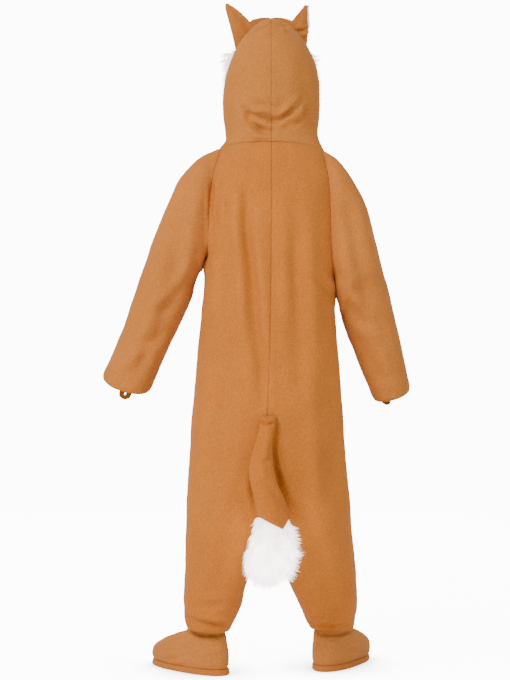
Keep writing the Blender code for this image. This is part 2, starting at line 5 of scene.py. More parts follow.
import bpy
import numpy as np
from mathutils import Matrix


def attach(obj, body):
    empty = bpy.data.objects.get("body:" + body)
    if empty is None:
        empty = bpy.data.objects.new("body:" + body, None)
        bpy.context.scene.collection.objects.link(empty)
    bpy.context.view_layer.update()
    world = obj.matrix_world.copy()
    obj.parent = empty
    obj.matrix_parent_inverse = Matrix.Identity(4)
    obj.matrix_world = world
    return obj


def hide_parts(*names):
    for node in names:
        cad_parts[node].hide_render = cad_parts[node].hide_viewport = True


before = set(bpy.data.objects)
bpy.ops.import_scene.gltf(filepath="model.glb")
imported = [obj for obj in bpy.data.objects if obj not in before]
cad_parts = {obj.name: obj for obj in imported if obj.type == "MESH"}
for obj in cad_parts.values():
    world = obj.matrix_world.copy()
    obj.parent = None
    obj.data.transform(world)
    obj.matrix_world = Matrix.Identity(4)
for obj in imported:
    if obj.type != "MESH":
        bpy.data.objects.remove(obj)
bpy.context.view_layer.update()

# Studio: a camera level with the thighs, 4 m behind the costume, a pale floor and broad soft lights.
# The whole costume is held at its shoulders, HOLD above the floor, and every height below is over the floor.
HOLD = 1045
EYE_X, EYE_Z, EYE_AWAY = 32, 666, 4000
VIEW_HIGH = 1.36

eye = bpy.data.objects.new("camera", bpy.data.cameras.new("camera"))
eye.location = (EYE_X / 1000, EYE_AWAY / 1000, (EYE_Z - HOLD) / 1000)
eye.rotation_euler = (math.pi / 2, 0, math.pi)
eye.data.sensor_width = 36
eye.data.lens = eye.data.sensor_width * (EYE_AWAY / 1000) / VIEW_HIGH
bpy.context.scene.collection.objects.link(eye)
bpy.context.scene.camera = eye


def linear(code):
    """The linear colour of an sRGB hex code."""
    values = [int(code[i : i + 2], 16) / 255 for i in (0, 2, 4)]
    return tuple(((v + 0.055) / 1.055) ** 2.4 if v > 0.04 else v / 12.92 for v in values) + (1,)


def add_node(tree, kind, settings=None, links=None):
    """Adds a node, sets its properties and inputs, and links inputs to other nodes' outputs."""
    node = tree.nodes.new(kind)
    for key, value in (settings or {}).items():
        if isinstance(key, str) and hasattr(node, key):
            setattr(node, key, value)
        else:
            node.inputs[key].default_value = value
    for key, source in (links or {}).items():
        tree.links.new(source, node.inputs[key])
    return node


def new_material(name):
    made = bpy.data.materials.new(name)
    made.use_nodes = True
    return made, made.node_tree, made.node_tree.nodes["Principled BSDF"]


def soft_light(name, place, aim, size, watts, tint):
    lamp = bpy.data.objects.new(name, bpy.data.lights.new(name, "AREA"))
    lamp.data.size = size
    lamp.data.energy = watts
    lamp.data.color = linear(tint)[:3]
    lamp.location = place
    away = np.array(place) - np.array(aim)
    turn = math.atan2(away[0], -away[1])
    tilt = math.atan2(math.hypot(away[0], away[1]), away[2])
    lamp.rotation_euler = (tilt, 0, turn)
    bpy.context.scene.collection.objects.link(lamp)


soft_light("key", (2.1, 2.6, 1.7), (0, 0, -0.3), 1.3, 150, "fffaf4")
soft_light("fill", (-2.4, 3.0, 0.5), (0, 0, -0.3), 2.6, 30, "fbfcff")
soft_light("front_fill", (0.6, -3.4, 1.2), (0, 0, -0.2), 2.6, 80, "ffffff")
sky = bpy.data.worlds.new("studio")
sky.use_nodes = True
backdrop = sky.node_tree.nodes["Background"]
backdrop.inputs["Color"].default_value = linear("ffffff")
seen = add_node(sky.node_tree, "ShaderNodeLightPath").outputs["Is Camera Ray"]
level = add_node(sky.node_tree, "ShaderNodeMapRange", {"To Min": 0.9, "To Max": 12.0}, {"Value": seen})
sky.node_tree.links.new(level.outputs[0], backdrop.inputs["Strength"])
bpy.context.scene.world = sky

floor_mesh = bpy.data.meshes.new("studio_floor")
reach = 14
floor_z = -HOLD / 1000 - 0.0005
floor_mesh.from_pydata(
    [(-reach, -reach, floor_z), (reach, -reach, floor_z), (reach, reach, floor_z), (-reach, reach, floor_z)],
    [],
    [(0, 1, 2, 3)],
)
floor = bpy.data.objects.new("studio_floor", floor_mesh)
bpy.context.scene.collection.objects.link(floor)
pale, tree, paint = new_material("pale_floor_paint")
paint.inputs["Base Color"].default_value = linear("fdfdfd")
paint.inputs["Roughness"].default_value = 0.9
# The floor glows for camera rays. Ambient occlusion dims that glow near the costume: a painted contact shadow
# under the boots.
paint.inputs["Emission Color"].default_value = linear("ffffff")
seen = add_node(tree, "ShaderNodeLightPath").outputs["Is Camera Ray"]
near = add_node(tree, "ShaderNodeAmbientOcclusion", {"samples": 8, "Distance": 0.12})
levels = {"From Min": 0.5, "To Min": 2.5, "To Max": 11.3}
painted_contact_shadow = add_node(tree, "ShaderNodeMapRange", levels, {"Value": near.outputs["AO"]})
lift = add_node(tree, "ShaderNodeMath", {"operation": "MULTIPLY"}, {0: seen, 1: painted_contact_shadow.outputs[0]})
tree.links.new(lift.outputs[0], paint.inputs["Emission Strength"])
floor_mesh.materials.append(pale)


# Body panels, sleeves and hood halves: eight pieces of brushed polyester felt, 2 mm thick. The two back and
# two front panels run on into the legs and are sewn at the middle, the sides and inside the legs. The raglan
# sleeves are set in from neck to armpit, and the two hood halves are sewn to the neck and along the crown.
WALL = 2.0
# Roundness of the trunk's level sections: 2 is an ellipse, more is squarer
ROUND = 2.25

left_body_sizes = [
    # key, middle z, middle x, start, side z, side x, end angle, y
    (0, 1056, -1, 0, 1048, 99, 72, 4),
    (1, 1039, -1, 0, 1026, 106, 67, 2),
    (2, 1017, -1, 0, 1004, 112, 62, 0),
    (3, 989, -1, 0, 976, 118, 59, 0),
    (4, 952, -1, 0, 938, 122, 58, 0),
    (5, 908, -1, 0, 896, 123, 60, 0),
    (6, 868, 0, 0, 858, 125, 65, 0),
    (7, 842, 0, 0, 834, 128, 79, 0),
    (8, 822, 0, 0, 814, 136, 90, 0),
    (9, 790, 0, 0, 784, 134, 90, 0),
    (10, 726, 1, 0, 722, 139, 90, 0),
    (11, 666, 2, 0, 664, 144, 90, 0),
    (12, 586, 5, 0, 586, 152, 90, 0),
    (13, 506, 7, 0, 506, 160, 90, 0),
    (14, 426, 8, -4, 426, 165, 90, 0),
    (15, 346, 8, -22, 346, 169, 90, 0),
    (16, 292, 8, -50, 286, 171, 90, -2),
    (17, 262, 8.4, -90, 246, 172, 90, -4),
    (18, 226, 32, -90, 216, 172, 90, -6),
    (19, 182, 48, -90, 180, 173, 90, -8),
    (20, 142, 58, -90, 144, 174, 90, -8),
    (21, 110, 70, -90, 116, 173, 90, -8),
    (22, 84, 84, -90, 96, 170, 90, -8),
]
right_body_sizes = [
    # key, middle z, middle x, start, side z, side x, end angle, y
    (0, 1056, -1, 0, 1042, -102, 72, 4),
    (1, 1039, -1, 0, 1021, -106, 67, 2),
    (2, 1017, -1, 0, 996, -111, 62, 0),
    (3, 989, -1, 0, 964, -115, 59, 0),
    (4, 952, -1, 0, 920, -117, 58, 0),
    (5, 908, -1, 0, 872, -118, 60, 0),
    (6, 868, 0, 0, 824, -121, 65, 0),
    (7, 842, 0, 0, 778, -127, 78, 0),
    (8, 822, 0, 0, 750, -130, 90, 0),
    (9, 790, 0, 0, 728, -128, 90, 0),
    (10, 726, 1, 0, 688, -130, 90, 0),
    (11, 666, 2, 0, 646, -135, 90, 0),
    (12, 586, 5, 0, 582, -140, 90, 0),
    (13, 506, 7, 0, 506, -144, 90, 0),
    (14, 426, 8, -4, 426, -150, 90, 0),
    (15, 346, 8, -22, 346, -158, 90, -4),
    (16, 292, 8, -50, 286, -162, 90, -10),
    (17, 262, 7.6, -90, 246, -167, 90, -16),
    (18, 226, -14, -90, 216, -170, 90, -24),
    (19, 182, -34, -90, 180, -173, 90, -34),
    (20, 142, -52, -90, 144, -175, 90, -44),
    (21, 110, -66, -90, 114, -172, 90, -52),
    (22, 84, -78, -90, 84, -168, 90, -60),
]
body_depths = [
    # key, back, front, drop of the front's middle
    (0, 62, 66, 34),
    (1, 72, 76, 32),
    (2, 84, 88, 28),
    (3, 95, 99, 22),
    (4, 102, 105, 14),
    (5, 105, 107, 8),
    (6, 107, 107, 4),
    (8, 107, 107, 0),
    (10, 104, 110, 0),
    (12, 108, 112, 0),
    (13, 116, 110, 0),
    (14, 119, 107, 0),
    (15, 116, 103, 0),
    (16, 108, 98, 0),
    (17, 98, 92, 0),
    (19, 84, 80, 0),
    (20, 76, 72, 0),
    (21, 68, 66, 0),
    (22, 60, 62, 0),
]
# Creases: width, depth (less than 0 is a ridge), then points in x and height, as the eye sees them
back_creases = [
    (10, 4.2, [(50, 970), (50, 890), (38, 800), (32, 706), (20, 626), (18, 540)]),
    (12, -2.8, [(68, 970), (70, 880), (60, 780), (56, 690), (46, 600)]),
    (12, -2.2, [(28, 930), (26, 850), (12, 760), (8, 680)]),
    (5, 3.0, [(118, 986), (118, 920), (114, 850)]),
    (5, 1.8, [(103, 976), (104, 920), (106, 860)]),
    (4, -1.4, [(110, 980), (111, 930), (110, 880)]),
    (5, 1.6, [(87, 976), (88, 930), (90, 880)]),
    (2.5, 2.0, [(22, 515), (8, 517), (-8, 512)]),
    (4, -1.4, [(22, 522), (6, 524), (-12, 520)]),
    (4.5, 3.8, [(-11, 494), (-4, 454), (-6, 427), (-17, 378), (-33, 338), (-45, 314)]),
    (5, 3.4, [(40, 396), (36, 360), (32, 322)]),
    (10, 2.4, [(52, 352), (50, 332), (44, 312)]),
    (12, 2.4, [(92, 930), (92, 860), (86, 780), (88, 700)]),
    (15, -1.8, [(18, 1000), (14, 900), (8, 800), (10, 700)]),
    (13, 2.4, [(-48, 930), (-50, 840), (-54, 740), (-56, 640), (-60, 560)]),
    (16, -2.0, [(-24, 960), (-26, 860), (-26, 760), (-24, 640)]),
    (13, -2.0, [(-78, 900), (-84, 800), (-88, 700), (-90, 600)]),
    (18, 3.4, [(82, 640), (92, 560), (98, 470), (100, 390)]),
    (16, -2.4, [(118, 620), (126, 520), (130, 420)]),
    (18, 3.2, [(-114, 600), (-112, 520), (-118, 430), (-126, 340)]),
    (16, -2.2, [(-84, 520), (-86, 420), (-92, 330)]),
    (14, 2.4, [(56, 420), (70, 340), (84, 260), (92, 200)]),
    (12, -2.0, [(112, 330), (120, 250), (124, 180)]),
    (13, 2.6, [(-58, 380), (-74, 300), (-92, 220), (-104, 150)]),
    (8, 2.0, [(92, 142), (120, 132), (150, 140)]),
    (5, 3.0, [(84, 94), (112, 96), (146, 102), (166, 112)]),
    (6, -2.0, [(84, 104), (112, 106), (146, 112), (166, 122)]),
    (8, 2.0, [(-88, 134), (-122, 124), (-152, 136)]),
    (5, 3.0, [(-80, 96), (-116, 92), (-150, 98)]),
    (6, -2.0, [(-80, 106), (-116, 102), (-150, 110)]),
    (8, 1.6, [(108, 838), (120, 826), (132, 812)]),
    (9, 1.8, [(-92, 790), (-110, 772), (-126, 752)]),
    (20, 1.6, [(6, 1030), (40, 1018), (84, 1016)]),
    (18, 1.4, [(-10, 1028), (-44, 1012), (-86, 1006)]),
]
front_creases = [
    (16, 3.0, [(46, 940), (44, 840), (50, 720), (48, 600)]),
    (16, -2.2, [(76, 930), (78, 820), (84, 700)]),
    (15, 3.0, [(-52, 950), (-46, 850), (-54, 730), (-50, 620)]),
    (17, -2.2, [(-80, 900), (-84, 780), (-90, 660)]),
    (18, 3.2, [(88, 560), (96, 460), (100, 350)]),
    (18, 3.0, [(-96, 540), (-104, 440), (-108, 330)]),
    (14, 2.4, [(60, 380), (76, 300), (92, 210)]),
    (14, 2.4, [(-56, 390), (-78, 300), (-96, 200)]),
    (9, 2.4, [(92, 130), (126, 118), (160, 132)]),
    (9, 2.2, [(-92, 126), (-124, 116), (-158, 126)]),
    (11, 2.0, [(88, 838), (108, 822), (130, 808)]),
    (12, 2.0, [(-84, 790), (-104, 770), (-124, 748)]),
    (14, 1.8, [(20, 1000), (52, 984), (88, 990)]),
    (14, 1.8, [(-22, 996), (-54, 980), (-90, 982)]),
]


left_sleeve_sizes = [
    # key, outer x, outer z, inner x, inner z, depth, y, drop
    (1, 142, 1031, 137, 805, 67, 0, 0),
    (2, 182, 990, 142, 801, 70, -1, 0),
    (3, 212, 926, 147, 791, 70, -5, 0),
    (4, 237, 864, 153, 775, 68, -12, 0),
    (5, 256, 812, 161, 748, 65, -21, 0),
    (6, 279, 748, 177, 712, 61, -32, 2),
    (7, 300, 690, 195, 672, 57, -44, 6),
    (8, 320, 640, 218, 626, 53, -54, 12),
    (9, 341, 595, 242, 570, 48, -62, 22),
]
right_sleeve_sizes = [
    # key, outer x, outer z, inner x, inner z, depth, y, drop
    (1, -136, 1022, -132, 745, 68, 0, 0),
    (2, -166, 982, -134, 740, 72, -1, 0),
    (3, -190, 938, -136, 733, 73, -5, 0),
    (4, -206, 880, -138, 725, 72, -12, 0),
    (5, -221, 818, -140, 719, 69, -24, 0),
    (6, -237, 766, -146, 698, 65, -34, 0),
    (7, -251, 710, -157, 668, 60, -45, 4),
    (8, -265, 652, -173, 632, 55, -55, 10),
    (9, -283, 570, -206, 550, 46, -66, 16),
]
hood_sizes = [
    # key, chin y, chin z, top y, top z, left, right, round
    (1, -66, 1034, 72, 1086, 92, 95, 2.2),
    (2, -70, 1038, 88, 1124, 92, 92, 2.1),
    (3, -73, 1042, 106, 1172, 95, 94, 2.1),
    (4, -76, 1047, 110, 1222, 96, 96, 2.05),
    (5, -78, 1052, 88, 1270, 94, 95, 1.95),
    (6, -80, 1057, 44, 1300, 90, 93, 1.8),
    (7, -82, 1062, -8, 1307, 88, 90, 1.75),
    (8, -84, 1067, -56, 1304, 85, 87, 1.85),
    (9, -86, 1072, -94, 1296, 82, 84, 2.1),
]
# Broad hollows in the back: side, key, share across, keys wide, share wide, depth
body_hollows = [
    (1, 4.5, 0.20, 3.5, 0.12, 4),
    (1, 9.5, 0.14, 3.0, 0.10, 5),
    (1, 14.5, 0.55, 2.6, 0.14, 5),
    (1, 20.5, 0.55, 1.2, 0.20, 4),
    (-1, 8.0, 0.16, 4.5, 0.10, 4),
    (-1, 13.5, 0.70, 2.2, 0.12, 5),
    (-1, 19.5, 0.45, 1.5, 0.18, 4),
]
# The nape's hollow and the roll above it: key, share round, keys wide, share wide, depth
nape_hollows = [(1.5, 0.02, 0.55, 0.20, 5), (2.3, 0.05, 0.45, 0.22, -3), (3.0, 0.22, 0.60, 0.12, 3)]
sleeve_creases = [
    (14, 2.6, [(158, 1000), (176, 930), (196, 850), (212, 770)]),
    (13, -2.0, [(142, 1010), (154, 930), (168, 850), (180, 790)]),
    (12, 2.6, [(160, 905), (186, 820), (204, 740), (226, 680)]),
    (11, 2.2, [(165, 790), (192, 742), (226, 715)]),
    (10, -1.8, [(170, 816), (204, 760), (244, 736)]),
    (11, 2.4, [(198, 690), (232, 664), (272, 660)]),
    (12, -2.0, [(230, 730), (256, 680), (282, 620)]),
    (10, 2.2, [(246, 640), (268, 606), (300, 600)]),
    (9, 1.6, [(262, 596), (286, 584), (318, 590)]),
    (14, 2.4, [(-150, 960), (-166, 880), (-180, 800), (-190, 740)]),
    (13, -2.0, [(-170, 960), (-190, 880), (-204, 800)]),
    (14, 3.2, [(-134, 800), (-158, 770), (-196, 770)]),
    (12, 2.8, [(-140, 756), (-162, 720), (-184, 700), (-226, 700)]),
    (11, -2.0, [(-150, 786), (-176, 744), (-214, 736)]),
    (12, 2.4, [(-166, 690), (-190, 640), (-206, 600)]),
    (11, -1.8, [(-200, 710), (-222, 640), (-240, 590)]),
    (10, 2.0, [(-200, 596), (-230, 588), (-262, 600)]),
]
hood_creases = [
    (5, -3.2, [(44, 1134), (30, 1126), (16, 1126), (0, 1125), (-12, 1120)]),
    (5, 3.4, [(44, 1118), (30, 1112), (14, 1110), (0, 1107), (-12, 1104)]),
    (4, 3.0, [(4, 1103), (-8, 1104), (-18, 1109), (-32, 1120), (-52, 1138), (-64, 1150)]),
    (6, -2.0, [(-8, 1116), (-20, 1122), (-34, 1134), (-52, 1152)]),
    (6, -1.8, [(-14, 1092), (-30, 1102), (-50, 1118)]),
    (5, 2.6, [(-50, 1100), (-62, 1112), (-78, 1132)]),
    (6, -1.6, [(-44, 1110), (-58, 1122), (-72, 1142)]),
    (6, 4.4, [(34, 1096), (22, 1088), (10, 1083), (-2, 1083)]),
    (6, 3.2, [(54, 1126), (44, 1108), (34, 1096), (20, 1088)]),
    (7, -1.8, [(58, 1108), (48, 1090), (30, 1074), (8, 1070)]),
    (3.4, -4.2, [(34, 1279), (22, 1282), (10, 1283), (-2, 1286), (-12, 1288), (-26, 1284)]),
    (3.4, 4.6, [(30, 1290), (18, 1293), (6, 1295), (-6, 1298), (-18, 1296), (-30, 1291)]),
    (16, 1.4, [(50, 1250), (66, 1200), (72, 1140)]),
    (15, -1.2, [(28, 1260), (40, 1210), (44, 1160)]),
    (16, 1.6, [(-44, 1252), (-64, 1200), (-70, 1140)]),
    (18, 1.4, [(-18, 1240), (-24, 1190), (-20, 1150)]),
    (12, 1.4, [(84, 1180), (80, 1130), (84, 1090)]),
    (12, 1.4, [(-80, 1170), (-78, 1120), (-84, 1080)]),
]


def unit(vectors):
    return vectors / np.maximum(np.linalg.norm(vectors, axis=-1), 1e-9)[..., None]


def read_sizes(rows, keys):
    """Smooth values of a table's columns at the keys."""
    table = np.array(rows, float)
    known, values = table[:, 0], table[:, 1:]
    slopes = np.gradient(values, known, axis=0)
    keys = np.atleast_1d(np.array(keys, float))
    low = np.clip(np.searchsorted(known, keys, side="right") - 1, 0, len(known) - 2)
    width = (known[low + 1] - known[low])[:, None]
    t = (keys - known[low])[:, None] / width
    start = (2 * t**3 - 3 * t**2 + 1) * values[low] + (t**3 - 2 * t**2 + t) * width * slopes[low]
    end = (3 * t**2 - 2 * t**3) * values[low + 1] + (t**3 - t**2) * width * slopes[low + 1]
    return start + end


def signed_power(value, exponent):
    return np.sign(value) * np.abs(value) ** exponent


def seam_spread(count):
    """Shares from 0 to 1 that lie closer together near both ends, where the seams are."""
    t = np.linspace(0, 1, count)
    return 0.55 * t + 0.45 * (0.5 - 0.5 * np.cos(np.pi * t))


def cloth_normals(points, wrap=False):
    along = np.gradient(points, axis=0)
    if wrap:
        across = (np.roll(points, -1, axis=1) - np.roll(points, 1, axis=1)) / 2
    else:
        across = np.gradient(points, axis=1)
    return unit(np.cross(across, along))


def body_rows(side, back, keys, shares):
    """Points of a body panel in millimetres over the floor, rows from the neck to the hem."""
    table = read_sizes(left_body_sizes if side > 0 else right_body_sizes, keys)
    depths = read_sizes(body_depths, keys)
    grid = np.zeros((len(keys), len(shares), 3))
    for i in range(len(keys)):
        mid_z, mid_x, first, side_z, side_x, last, mid_y = table[i]
        back_depth, front_depth, drop = depths[i]
        first, last = max(first, -90), min(last, 90)
        angle = np.radians(first + (last - first) * shares)
        out = signed_power(np.sin(angle), 2 / ROUND)
        half = (side_x - mid_x) / (out[-1] - out[0])
        depth = back_depth if back else -front_depth
        middle = mid_z if back else mid_z - drop
        grid[i, :, 0] = mid_x + half * (out - out[0])
        grid[i, :, 1] = mid_y + depth * signed_power(np.maximum(np.cos(angle), 0), 2 / ROUND)
        grid[i, :, 2] = middle + (side_z - middle) * shares**2
    return grid


def hollow(grid, keys, shares, spots, fade):
    """Broad hollows of the worn form, fading out at the seams."""
    key, share = np.meshgrid(keys, shares, indexing="ij")
    deep = np.zeros(key.shape)
    for at_key, at_share, keys_wide, share_wide, depth in spots:
        deep += depth * np.exp(-(((key - at_key) / keys_wide) ** 2) - ((share - at_share) / share_wide) ** 2)
    if fade:
        deep *= np.sin(np.pi * share) ** 0.5 * np.clip(key / 2, 0, 1)
    return deep[:, :, None]


def neck_seam(side, angles):
    """Points of the neck seam: angle 0 is the middle of the back, 180 the middle of the front."""
    mid_z, mid_x, _, side_z, side_x, last, mid_y = (left_body_sizes if side > 0 else right_body_sizes)[0][1:]
    back_depth, front_depth, drop = body_depths[0][1:]
    half = (side_x - mid_x) / math.sin(math.radians(last)) ** (2 / ROUND)
    angles = np.asarray(angles, float)
    turn = np.radians(angles)
    middle = np.where(angles < 90, mid_z, mid_z - drop)
    depth = np.where(angles < 90, back_depth, front_depth)
    share = np.minimum(np.minimum(angles, 180 - angles) / last, 1)
    x = mid_x + half * np.abs(np.sin(turn)) ** (2 / ROUND)
    y = mid_y + depth * signed_power(np.cos(turn), 2 / ROUND)
    return np.stack([x, y, middle + (side_z - middle) * share**2], axis=1)


def along_rings(rings, keys):
    """A fine grid through rings of points, by smooth curves from ring to ring."""
    rings = np.array(rings)
    table = np.concatenate([np.arange(len(rings))[:, None], rings.reshape(len(rings), -1)], axis=1)
    return read_sizes(table, keys).reshape(len(keys), -1, 3)


CREASE_GAIN = 1.8
MARKS_PER_SPOT = 12
# Size in millimetres and height of the cloth's own unevenness
UNEVEN = ((120, 0.5), (70, 0.35), (34, 0.2), (16, 0.08))


def relief(points, normals, creases_behind, creases_ahead):
    """Soft troughs and ridges along drawn paths and the cloth's uneven hand, as shifts along the normals."""
    shift = np.zeros(points.shape[:2])
    nearer = EYE_AWAY / (EYE_AWAY - points[:, :, 1])
    seen_x = EYE_X + (points[:, :, 0] - EYE_X) * nearer
    seen_z = EYE_Z + (points[:, :, 2] - EYE_Z) * nearer
    for facing, creases in ((1, creases_behind), (-1, creases_ahead)):
        toward = np.clip(normals[:, :, 1] * facing * 3, 0, 1)
        for number, (width, depth, path) in enumerate(creases):
            path = np.array(path, float)
            steps = np.linspace(0, len(path) - 1, MARKS_PER_SPOT * len(path))
            marks = np.stack([np.interp(steps, np.arange(len(path)), path[:, k]) for k in (0, 1)], axis=1)
            strength = np.sin(np.pi * np.linspace(0.06, 0.94, len(marks))) ** 0.6
            strength *= 1 + 0.3 * np.sin(np.linspace(0, 9, len(marks)) + number * 1.7)
            near = np.full(points.shape[:2], 1e9)
            best = np.zeros(points.shape[:2])
            for (x, z), much in zip(marks, strength):
                distance = np.hypot(seen_x - x, seen_z - z)
                closer = distance < near
                near[closer] = distance[closer]
                best[closer] = much
            trough = np.exp(-((near / width) ** 2))
            shoulder = 0.35 * np.exp(-(((near - 1.9 * width) / width) ** 2))
            shift -= CREASE_GAIN * depth * best * (trough - shoulder) * toward
    rng = np.random.RandomState(11)
    for size, height in UNEVEN:
        for _ in range(4):
            course = unit(rng.normal(size=3)) * (0.7 + 0.6 * rng.rand()) / size
            shift += height * np.sin(points @ course * 2 * np.pi + rng.rand() * 6.28) * 0.6
    return shift


def seam_roll(points, depth, width, edges):
    """How far the cloth rolls in at its sewn edges, with small uneven puckers beside the seam."""
    shift = np.zeros(points.shape[:2])
    for edge, share in edges.items():
        axis = 0 if edge in ("top", "bottom") else 1
        line = points if edge in ("top", "inner") else np.flip(points, axis)
        run = np.cumsum(np.linalg.norm(np.diff(line, axis=axis), axis=2), axis=axis)
        run = np.insert(run, 0, 0, axis=axis)
        if edge in ("bottom", "outer"):
            run = np.flip(run, axis)
        length = points[:, :, 2] + 0.6 * points[:, :, 0]
        pucker = np.sin(length / 4.1) * np.sin(length / 13 + 1) + 0.6 * np.sin(length / 6.3 + 2)
        shift -= depth * share * np.exp(-((run / width) ** 2))
        shift -= 0.32 * pucker * np.exp(-(((run - 5) / 5) ** 2)) * (1 - np.exp(-((run / 2.5) ** 2)))
    return shift


def add_piece(name, points, faces):
    """A smooth piece from points in millimetres over the floor; its faces are turned outwards."""
    points = np.array(points)
    points[:, 2] -= HOLD
    points /= 1000
    mesh = bpy.data.meshes.new(name)
    mesh.from_pydata(points.tolist(), [], faces)
    mesh.shade_smooth()
    mesh.calc_loop_triangles()
    corners = points[np.array([triangle.vertices for triangle in mesh.loop_triangles])]
    if np.sum(corners[:, 0] * np.cross(corners[:, 1], corners[:, 2])) < 0:
        mesh.flip_normals()
    piece = bpy.data.objects.new(name, mesh)
    bpy.context.scene.collection.objects.link(piece)
    return piece


def sheet_mesh(name, outer, normals, wrap=False):
    """A closed shell of cloth with its outer face on the grid."""
    rows, columns = outer.shape[:2]
    count = rows * columns
    points = np.concatenate([outer.reshape(-1, 3), (outer - normals * WALL).reshape(-1, 3)])
    spans = columns if wrap else columns - 1
    i, j = np.meshgrid(np.arange(rows - 1), np.arange(spans), indexing="ij")
    k = (j + 1) % columns
    row, below = i * columns, (i + 1) * columns
    quads = np.stack([row + j, row + k, below + k, below + j], axis=-1).reshape(-1, 4)
    j = np.arange(spans)
    k = (j + 1) % columns
    rims = [np.stack([k, j, count + j, count + k], axis=-1)]
    low = (rows - 1) * columns
    rims.append(np.stack([low + j, low + k, count + low + k, count + low + j], axis=-1))
    if not wrap:
        i = np.arange(rows - 1)
        a, b = i * columns, (i + 1) * columns
        rims.append(np.stack([a, b, count + b, count + a], axis=-1))
        a, b = a + columns - 1, b + columns - 1
        rims.append(np.stack([b, a, count + a, count + b], axis=-1))
    faces = np.concatenate([quads, quads[:, ::-1] + count] + rims)
    a, b, c, d = (points[faces[:, n]] - points[0] for n in range(4))
    if np.sum(a * np.cross(b, c)) + np.sum(a * np.cross(c, d)) < 0:
        faces = faces[:, ::-1]
    return add_piece(name, points, faces.tolist())


def colour_ramp(tree, source, low, high):
    ramp = add_node(tree, "ShaderNodeValToRGB", {}, {0: source})
    for element, (position, code) in zip(ramp.color_ramp.elements, (low, high)):
        element.position = position
        element.color = linear(code)
    return ramp


def brushed_felt(name, deep, middle, light):
    """Brushed polyester felt: short fibres raised by wire rollers, which lie in small clouds a few
    millimetres across, hide the weave and catch light at grazing edges. The clouds mottle its face."""
    made, tree, shader = new_material(name)
    shader.inputs["Roughness"].default_value = 0.92
    shader.inputs["Specular IOR Level"].default_value = 0.12
    shader.inputs["Sheen Weight"].default_value = 0.12
    shader.inputs["Sheen Roughness"].default_value = 0.45
    shader.inputs["Sheen Tint"].default_value = linear("f3c9a0")
    place = add_node(tree, "ShaderNodeTexCoord").outputs["Object"]
    turned = {"Scale": (1, 1, 0.8), "Rotation": (0.2, 0.35, 0.1)}
    lay = add_node(tree, "ShaderNodeMapping", turned, {0: place}).outputs[0]
    fine = add_node(tree, "ShaderNodeTexNoise", {"Scale": 900, "Detail": 3, "Roughness": 0.7}, {0: lay})
    clouds = add_node(tree, "ShaderNodeTexNoise", {"Scale": 380, "Detail": 3, "Roughness": 0.6}, {0: lay})
    broad = add_node(tree, "ShaderNodeTexNoise", {"Scale": 9, "Detail": 2}, {0: place})
    part = add_node(tree, "ShaderNodeMath", {"operation": "MULTIPLY", 1: 0.45}, {0: fine.outputs["Fac"]})
    both = {0: clouds.outputs["Fac"], 2: part.outputs[0]}
    mixed = add_node(tree, "ShaderNodeMath", {"operation": "MULTIPLY_ADD", 1: 0.55}, both)
    ramp = colour_ramp(tree, mixed.outputs[0], (0.26, deep), (0.74, light))
    ramp.color_ramp.elements.new(0.5).color = linear(middle)
    levels = {1: 0.35, 2: 0.65, 3: 0.95, 4: 1.05}
    shade = add_node(tree, "ShaderNodeMapRange", levels, {0: broad.outputs["Fac"]})
    toned = add_node(tree, "ShaderNodeVectorMath", {"operation": "SCALE"}, {0: ramp.outputs["Color"]})
    tree.links.new(shade.outputs[0], toned.inputs["Scale"])
    tree.links.new(toned.outputs[0], shader.inputs["Base Color"])
    nap = {"Strength": 0.5, "Distance": 0.0008}
    raised = add_node(tree, "ShaderNodeBump", nap, {"Height": mixed.outputs[0]})
    tree.links.new(raised.outputs[0], shader.inputs["Normal"])
    return made


def dress(piece, node):
    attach(piece, "root")
    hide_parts(node)


def declare(piece, material, node):
    piece.data.materials.append(material)
    dress(piece, node)


body_felt = brushed_felt("body_felt", "965015", "ae6422", "c07a36")
sleeve_felt = brushed_felt("sleeve_felt", "96541c", "ae682a", "c07c3e")
hood_felt = brushed_felt("hood_felt", "92541c", "aa682a", "bc7a3e")
# Rows or columns of the cloth's grid from one listed size to the next
STEPS = 8
SLEEVE_ROWS = 109
HOOD_ROWS = 91
SEAM_DEPTH, SEAM_REACH = 0.8, 2.6
hood_rings = {}
sleeve_ends = {}
